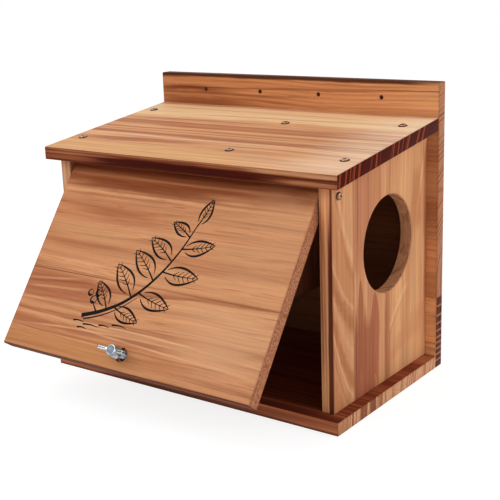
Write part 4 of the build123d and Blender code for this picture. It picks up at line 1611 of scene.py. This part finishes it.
@dataclass(frozen=True)
class WingScrew:
    """The cast wing screw: a tapered hub, two rimmed wings and a threaded shank.

    Its heights are measured from the hub's base, outwards from the door. A rim step is the inset from
    the wing's outline and the drop below the rim's top. The thread's flank is its slope and its flat.
    The disc's insets are multiples of the hub's round, and the turns are where the rounds have steps.
    """

    RIM_STEPS: ClassVar[tuple[Pair, ...]] = (
        (0.0, 0.35 * MM), (0.3 * MM, 0.0), (0.62 * MM, 0.0), (0.85 * MM, 0.2 * MM))
    FLANK: ClassVar[Pair] = (1.5, 0.25)
    BASE_TURNS: ClassVar[Point] = (0.5, 1.0, 1.5)
    END_TURNS: ClassVar[Point] = (0.0, 0.6, 1.2)
    DISC_INSETS: ClassVar[Pair] = (1.5, 2.2)
    EASING: ClassVar[Pair] = (0.5, 3)
    HUB_SIDES: ClassVar[int] = 64
    TIP_STEPS: ClassVar[int] = 14
    SHANK_SIDES: ClassVar[int] = 40
    ROWS_PER_PITCH: ClassVar[int] = 10
    SUNK_ROWS: ClassVar[int] = 4

    hub_height: float = 8.5 * MM
    base_radius: float = 6.0 * MM
    end_radius: float = 4.6 * MM
    hub_round: float = 0.7 * MM
    dish_drop: float = 0.25 * MM
    dish_depth: float = 0.3 * MM
    wing_reach: float = 12.9 * MM
    wing_start: float = 3.6 * MM
    root_height: float = 6.3 * MM
    tip_height: float = 7.0 * MM
    root_radius: float = 1.8 * MM
    tip_radius: float = 2.6 * MM
    half_thickness: float = 1.4 * MM
    groove_floor: float = 0.75 * MM
    groove_inset: float = 1.0 * MM
    disc_shade: float = 0.75
    groove_shade_reach: float = 0.55 * MM
    shade_softness: float = 0.25 * MM
    thread_radius: float = 2.93 * MM
    thread_depth: float = 0.5 * MM
    pitch: float = 1.0 * MM
    shank_length: float = 17.8 * MM
    groove_low: float = 17.2 * MM
    groove_high: float = 16.3 * MM
    groove_radius: float = 2.3 * MM
    tip_chamfer: float = 0.6 * MM
    voxel: float = 0.2 * MM
    crease: float = 40.0
    zinc: PlatedFinish = PlatedFinish("bright_zinc_metal", (180, 186, 190), (112, 120, 126), 0.14, 0.34, (52, 64, 72))
    # Near-black metal for the threaded insert: partly dark metal, partly painted shade of the pocket it sits in.
    dark: PlatedFinish = PlatedFinish("blackened_metal", (40, 30, 26), (20, 16, 14), 0.4, 0.6)

    def build(self, place: Matrix) -> None:
        """Builds the wing screw, and dresses the insert and the ring that it runs in.

        Args:
            place: From the hub's base frame, with Z outwards, to the frame of the house.
        """
        head = self.cast_head()
        self.shade(head.data)
        joined = bmesh.new()
        for part in (head.data, self.shank()):
            joined.from_mesh(part)
        bpy.data.objects.remove(head)
        mesh = to_mesh("wing_screw", joined)
        mesh.transform(place)
        finish_mesh(mesh, self.crease)
        metal = self.zinc.material()
        mesh.materials.append(metal)
        seat(new_object("wing_screw", mesh), "wing_screw", "wing_screw", "bright_zinc")
        for node, finish in (("threaded_insert", self.dark.material()), ("keeper_ring", metal)):
            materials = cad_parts[node].data.materials
            materials.clear()
            materials.append(finish)
            LOG.info("%s: keeps its mesh", node)

    def cast_head(self) -> Object:
        """The hub and both wings, melted into one casting.

        Returns:
            The casting.
        """
        r, top, base, end = self.hub_round, self.hub_height, self.base_radius, self.end_radius
        rise = end + (base - end) / top * r - r
        profile = [(0.0, 0.0), (base - r, 0.0)]
        profile += [(base - r + r * math.sin(turn), r - r * math.cos(turn)) for turn in self.BASE_TURNS]
        profile += [(rise + r * math.cos(turn), top - r + r * math.sin(turn)) for turn in self.END_TURNS]
        disc, dish = (end - inset * r for inset in self.DISC_INSETS)
        profile += [(disc, top), (dish, top - self.dish_drop), (0.0, top - self.dish_depth)]
        casting = lathe(profile, self.HUB_SIDES)
        for side in (-1, 1):
            self.add_wing(casting, side)
        head = new_object("wing_screw_head", to_mesh("wing_screw_head", casting))
        melt = head.modifiers.new("melt", "REMESH")
        melt.mode, melt.voxel_size = "VOXEL", self.voxel
        ease = head.modifiers.new("ease", "SMOOTH")
        ease.factor, ease.iterations = self.EASING
        return flatten(head)

    def shade(self, mesh: Mesh) -> None:
        """Marks the hub's end disc as darker metal, and a line along the middle of each wing's edge as painted shade,
        where the groove shows dark.

        Args:
            mesh: The casting, with Z along the hub.
        """
        marks = mesh.attributes.new(SHADE, "FLOAT", "POINT")
        for vert, mark in zip(mesh.vertices, marks.data):
            x, y, z = vert.co
            disc = self.end_radius - self.hub_round - math.hypot(x, y) if z > self.hub_height / 2 else 0.0
            # Painted shade: a dark line along the middle of each wing's edge.
            deep = self.groove_shade_reach - abs(y) if abs(x) > self.base_radius else 0.0
            disc, deep = disc / self.shade_softness, deep / self.shade_softness
            mark.value = max(0.0, min(self.disc_shade, disc), min(1.0, deep))

    def add_wing(self, shape: Shape, side: int) -> None:
        """Adds one wing, whose rims stand above a shallow groove.

        Args:
            shape: The shape that gets it.
            side: 1 for the right wing, -1 for the left one.
        """
        steps = [(0.0, 0.0), *((inset, self.half_thickness - drop) for inset, drop in self.RIM_STEPS),
                 (self.groove_inset, self.groove_floor)]
        faces = [[[shape.verts.new((side * u, face * height, v)) for u, v in self.wing_outline(inset)]
                  for inset, height in steps] for face in (-1, 1)]
        for rings in faces:
            for outer, inner in zip(rings, rings[1:]):
                band(shape, outer, inner)
            shape.faces.new(rings[-1])
        band(shape, faces[0][0], faces[1][0])

    def wing_outline(self, inset: float) -> list[tuple[float, float]]:
        """The outline of one wing, made smaller all round.

        Args:
            inset: How much smaller.

        Returns:
            Reach and height of each point.
        """
        turns = [-math.pi / 2 + math.pi * number / self.TIP_STEPS for number in range(self.TIP_STEPS + 1)]
        tip, root, start = self.tip_radius - inset, self.root_radius - inset, self.wing_start + inset
        return [*((self.wing_reach + tip * math.cos(t), self.tip_height + tip * math.sin(t)) for t in turns),
                (start, self.root_height + root), (start, self.root_height - root)]

    def shank(self) -> Mesh:
        """The threaded shank with the groove for the keeper ring.

        Returns:
            The shank's mesh.
        """
        rows = round(self.shank_length / self.pitch * self.ROWS_PER_PITCH)
        slope, flat = self.FLANK
        shape = bmesh.new()
        loops = []
        for row in range(-self.SUNK_ROWS, rows + 1):
            depth = self.shank_length * row / rows
            widest = self.thread_radius - self.tip_chamfer + self.shank_length - depth
            loop = []
            for number in range(self.SHANK_SIDES):
                turn = number / self.SHANK_SIDES
                wave = (-depth / self.pitch - turn) % 1.0
                tooth = min(1.0, max(0.0, slope * abs(2 * wave - 1) - flat))
                grooved = self.groove_high <= depth <= self.groove_low
                radius = min(self.groove_radius if grooved else self.thread_radius - self.thread_depth * tooth, widest)
                angle = 2 * math.pi * turn
                loop.append(shape.verts.new((radius * math.cos(angle), radius * math.sin(angle), -depth)))
            loops.append(loop)
        for upper, lower in zip(loops, loops[1:]):
            band(shape, upper, lower)
        shape.faces.new(loops[0])
        shape.faces.new(loops[-1][::-1])
        return to_mesh("shank", shape)


# Drawing on the door


@dataclass(frozen=True)
class SprigDrawing:
    """A burnt-in line drawing of a leafy sprig, in millimetres across and up the door."""

    RIM_STEPS: ClassVar[int] = 12
    BERRY_STEPS: ClassVar[int] = 20
    STEP_LENGTH: ClassVar[float] = 1.6
    LEAST_WIDTH: ClassVar[float] = 0.25
    LEAF_BEND: ClassVar[float] = 0.12
    VEINS: ClassVar[tuple[float, ...]] = tuple(0.2 + 0.13 * number for number in range(1, 6))
    MIDRIB: ClassVar[tuple[float, ...]] = (0.0, 0.2, 0.4, 0.6, 0.8, 0.95)
    BREADTHS: ClassVar[Pair] = (0.44, 0.4)
    SPECULAR: ClassVar[float] = 0.06
    GRAIN_SCALES: ClassVar[Point] = (60.0, 900.0, 900.0)
    GRAIN_LIMITS: ClassVar[Pair] = (0.45, 0.8)
    ROUGHNESS: ClassVar[Pair] = (0.3, 0.45)
    TONES: ClassVar[tuple[Colour, Colour]] = ((16, 12, 14), (44, 30, 26))
    BUMP: ClassVar[Pair] = (0.15, 0.05 * MM)

    middle: tuple[float, float] = (0.0, 86.0)
    rise: float = 0.05 * MM
    sink: float = 0.03 * MM
    weight: float = 1.9
    scale: float = 0.88
    body: str = "door"

    def strokes(self) -> list[list[Point]]:
        """Every stroke as points of across, up and width.

        Returns:
            The strokes.
        """
        stem = [(-66, -34), (-44, -26), (-22, -14), (-2, 4), (14, 26), (26, 50), (34, 74)]
        lines = [self.taper(stem, 2.0, 0.6), self.taper([(-62, -37), (-42, -30), (-22, -19), (-6, -6)], 0.8, 0.3)]
        leaves = [(-38, -23, 122, 34), (-30, -19, -24, 36), (-14, -6, 128, 42), (-6, -1, -20, 42), (5, 14, 134, 42),
                  (12, 24, -8, 44), (18, 36, 142, 38), (25, 49, 6, 38), (30, 62, 146, 28), (34, 74, 66, 30)]
        for number, leaf in enumerate(leaves):
            lines += self.leaf(*leaf, self.BREADTHS[number % 2])
        for berry in ((-58, -16, 3.8), (-64.5, -9.5, 3.2), (-54.5, -8.5, 3.4)):
            lines += self.berry(*berry)
        lines.append(self.taper([(-49, -28), (-54, -23), (-57, -20)], 0.9, 0.4))
        for x, y, way in ((-74, -40, 14), (-60, -42, 20), (-40, -40, 14), (-24, -37, 18), (-66, -46, 12)):
            lines.append(self.taper([(x, y), (x + way / 2, y + 0.8), (x + way, y - 0.2)], 0.9, 0.25))
        return lines

    @staticmethod
    def taper(points: list[tuple[float, float]], thick: float, thin: float) -> list[Point]:
        """Gives a line a width that falls from one end to the other."""
        last = len(points) - 1
        return [(x, y, thick + (thin - thick) * number / last) for number, (x, y) in enumerate(points)]

    def leaf(self, x: float, y: float, heading: float, length: float, breadth: float) -> list[list[Point]]:
        """One leaf with its midrib and side veins.

        Args:
            x: Where its stalk starts, across.
            y: Where its stalk starts, up.
            heading: The way it points, in degrees.
            length: Its length.
            breadth: Its breadth as a share of its length.

        Returns:
            The leaf's strokes.
        """
        way = math.cos(math.radians(heading)), math.sin(math.radians(heading))

        def at(u: float, v: float, width: float) -> Point:
            """A point on the leaf, from shares of its length along and across it."""
            v += self.LEAF_BEND * u * u
            return (x + length * (u * way[0] - v * way[1]), y + length * (u * way[1] + v * way[0]), width)

        lines = []
        for side in (1, -1):
            rim = []
            for number in range(self.RIM_STEPS + 1):
                u = number / self.RIM_STEPS
                swell = math.sin(math.pi * min(1.0, 0.08 + 0.92 * u) ** 0.82) ** 0.9 * breadth / 2
                rim.append(at(0.14 + 0.86 * u, side * swell, 0.35 + 0.75 * math.sin(math.pi * u)))
            lines.append(rim)
            for u in self.VEINS:
                reach = side * math.sin(math.pi * (u - 0.1)) * breadth * 0.36
                lines.append([at(u, 0, 0.42), at(u + 0.07, reach * 0.6, 0.34), at(u + 0.13, reach, 0.16)])
        lines.append([at(u, 0, 0.8 - 0.6 * u) for u in self.MIDRIB])
        return lines

    def berry(self, x: float, y: float, size: float) -> list[list[Point]]:
        """One round berry with a crescent of shade and its small crown.

        Args:
            x: Its middle across.
            y: Its middle up.
            size: Its radius.

        Returns:
            The strokes.
        """
        turns = [2 * math.pi * number / self.BERRY_STEPS for number in range(self.BERRY_STEPS + 1)]
        ring = [(x + size * math.cos(t), y + size * math.sin(t), 0.6 + 0.3 * math.sin(t + 4)) for t in turns]
        shade = [(x + size * 0.62 * math.cos(t), y + size * 0.62 * math.sin(t), 0.5) for t in (3.8, 4.3, 4.8, 5.3)]
        return [ring, shade, [(x - 0.5, y + 0.4, 0.4), (x + 0.5, y + 0.9, 0.3)]]

    def build(self, door: Door) -> Object:
        """Draws the strokes as thin raised ink on the door.

        Args:
            door: The door that carries the drawing.

        Returns:
            The drawing's object.
        """
        shape = bmesh.new()
        for line in self.strokes():
            self.lay(shape, self.smooth(line), door.face_y)
        drawing = new_object("door_drawing", to_mesh("door_drawing", shape))
        drawing.data.transform(door.swing)
        drawing.data.materials.append(self.ink())
        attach(drawing, self.body)
        LOG.info("%s: %d faces", drawing.name, len(drawing.data.polygons))
        return drawing

    def smooth(self, line: list[Point]) -> list[Vector]:
        """Rounds a stroke's corners with a spline through its points.

        Args:
            line: The points.

        Returns:
            The spline's points.
        """
        points = [Vector(point) for point in line]
        ends = [2 * points[0] - points[1], *points, 2 * points[-1] - points[-2]]
        round_line = []
        for a, b, c, d in zip(ends, ends[1:], ends[2:], ends[3:]):
            steps = max(2, round((c.xy - b.xy).length / self.STEP_LENGTH))
            for number in range(steps):
                t = number / steps
                round_line.append(0.5 * (2 * b + (c - a) * t + (2 * a - 5 * b + 4 * c - d) * t * t
                                         + (3 * b - a - 3 * c + d) * t ** 3))
        return [*round_line, points[-1]]

    def lay(self, shape: Shape, line: list[Vector], surface: float) -> None:
        """Lays one stroke on the door as a closed ribbon.

        Args:
            shape: The shape that gets the ribbon.
            line: The stroke's points with their widths.
            surface: The door's front face along Y, while it is shut.
        """
        rows = []
        for number, point in enumerate(line):
            ahead, behind = line[min(number + 1, len(line) - 1)], line[max(number - 1, 0)]
            way = (ahead.xy - behind.xy).normalized()
            side = Vector((-way.y, way.x)) * max(point.z * self.weight, self.LEAST_WIDTH) / 2
            low, high = ((point.xy * self.scale + sign * side + Vector(self.middle)) * MM for sign in (-1, 1))
            corners = ((low, -self.rise), (high, -self.rise), (high, self.sink), (low, self.sink))
            rows.append([shape.verts.new((edge.x, surface + lift, edge.y)) for edge, lift in corners])
        for first, second in zip(rows, rows[1:]):
            band(shape, first, second)
        for row in (rows[0], rows[-1]):
            shape.faces.new(row)

    def ink(self) -> bpy.types.Material:
        """Near-black ink that the wood grain shows through a little.

        Returns:
            The material.
        """
        material, tree, surface = new_material("burnt_ink")
        place = tree.named(tree.add("ShaderNodeTexCoord"))["Object"]
        grain = tree.noise(tree.stretched(place, self.GRAIN_SCALES), 3.0)
        tree.fill(surface, {
            "Base Color": tree.mix(grain.ramp(*self.GRAIN_LIMITS), *map(linear, self.TONES)),
            "Roughness": grain.scaled(*self.ROUGHNESS), "Specular IOR Level": self.SPECULAR,
            "Normal": tree.bump(grain, *self.BUMP)})
        return material


# Studio


@dataclass(frozen=True)
class Lamp:
    """One soft square lamp that faces the house, with its power in watts."""

    AIM: ClassVar[Point] = (0, 0, 0.12)

    name: str
    place: Point
    size: float
    power: float

    def build(self) -> None:
        """Hangs the lamp."""
        data = bpy.data.lights.new(self.name, "AREA")
        data.size, data.energy = self.size, self.power
        lamp = bpy.data.objects.new(self.name, data)
        lamp.location = self.place
        lamp.rotation_euler = (Vector(self.AIM) - Vector(self.place)).to_track_quat("-Z", "Y").to_euler()
        bpy.context.scene.collection.objects.link(lamp)


@dataclass(frozen=True)
class Studio:
    """The camera, the floor and the soft light."""

    place: Point = (0.5663378, -0.7579494, 0.3681417)
    turn: Point = (math.radians(74.956), math.radians(1.903), math.radians(35.874))
    lens: float = 74.796
    sensor: float = 36.0
    clip: tuple[float, float] = (0.01, 50.0)
    lamps: tuple[Lamp, ...] = (
        Lamp("key", (-0.9, -1.3, 1.5), 1.3, 15.0), Lamp("fill", (1.7, 0.4, 0.85), 1.2, 11.5))
    sky: float = 0.52
    floor_size: float = 12.0
    floor_tone: float = 0.85
    floor_roughness: float = 0.9
    floor_glow: float = 1.36
    glow_share: float = 0.6

    def build(self) -> None:
        """Builds all of it."""
        self.camera()
        self.floor()
        self.world()
        for lamp in self.lamps:
            lamp.build()

    def camera(self) -> None:
        """The camera where the photograph's stood."""
        data = bpy.data.cameras.new("camera")
        data.lens, data.sensor_width = self.lens, self.sensor
        data.clip_start, data.clip_end = self.clip
        camera = bpy.data.objects.new("camera", data)
        camera.location, camera.rotation_euler = self.place, Euler(self.turn, "XYZ")
        bpy.context.scene.collection.objects.link(camera)
        bpy.context.scene.camera = camera

    @staticmethod
    def seen(tree: Tree, *kinds: str) -> Value:
        """Whether a ray is of one of some kinds, by the names of the Light Path outputs.

        Args:
            tree: The material's tree.
            kinds: The outputs' names.

        Returns:
            1 for such a ray, else 0.
        """
        paths = tree.named(tree.add("ShaderNodeLightPath"))
        share = paths[kinds[0]]
        for kind in kinds[1:]:
            share = tree.math("MAXIMUM", share, paths[kind])
        return share

    def floor(self) -> None:
        """A wide pale floor that stays white to the camera but keeps the shadow."""
        shape = bmesh.new()
        bmesh.ops.create_grid(shape, x_segments=1, y_segments=1, size=self.floor_size)
        floor = new_object("floor", to_mesh("floor", shape))
        material, tree, surface = new_material("pale_floor")
        tone = (self.floor_tone, self.floor_tone, self.floor_tone, 1.0)
        tree.fill(surface, {"Base Color": tone, "Roughness": self.floor_roughness})
        glow = tree.out("ShaderNodeEmission", {"Color": (1, 1, 1, 1), "Strength": self.floor_glow})
        share = self.seen(tree, "Is Camera Ray", "Is Glossy Ray") * self.glow_share
        both = tree.out("ShaderNodeMixShader", {0: share, 1: tree.named(surface)["BSDF"], 2: glow})
        tree.fill(material.node_tree.nodes["Material Output"], {"Surface": both})
        floor.data.materials.append(material)

    def world(self) -> None:
        """Even light from all round, white where it is seen."""
        world = bpy.data.worlds.new("studio")
        bpy.context.scene.world = world
        world.use_nodes = True
        tree = Tree(world.node_tree)
        seen = self.seen(tree, "Is Camera Ray", "Is Glossy Ray", "Is Transmission Ray")
        strength = seen.scaled(1.0 - self.sky, self.sky)
        tree.fill(world.node_tree.nodes["Background"], {"Color": (1, 1, 1, 1), "Strength": strength})


def main() -> None:
    """Builds the dressed house and the studio round it."""
    logging.basicConfig(level=logging.INFO, format="%(message)s")
    bpy.context.scene.view_settings.view_transform = "Standard"
    fixings = Fixings()
    drilled = fixings.bores()
    Case().build(drilled)
    door = Door()
    door.build(drilled)
    SprigDrawing().build(door)
    fixings.build()
    WingScrew().build(door.latch_seat)
    Studio().build()


if __name__ == "__main__":
    main()
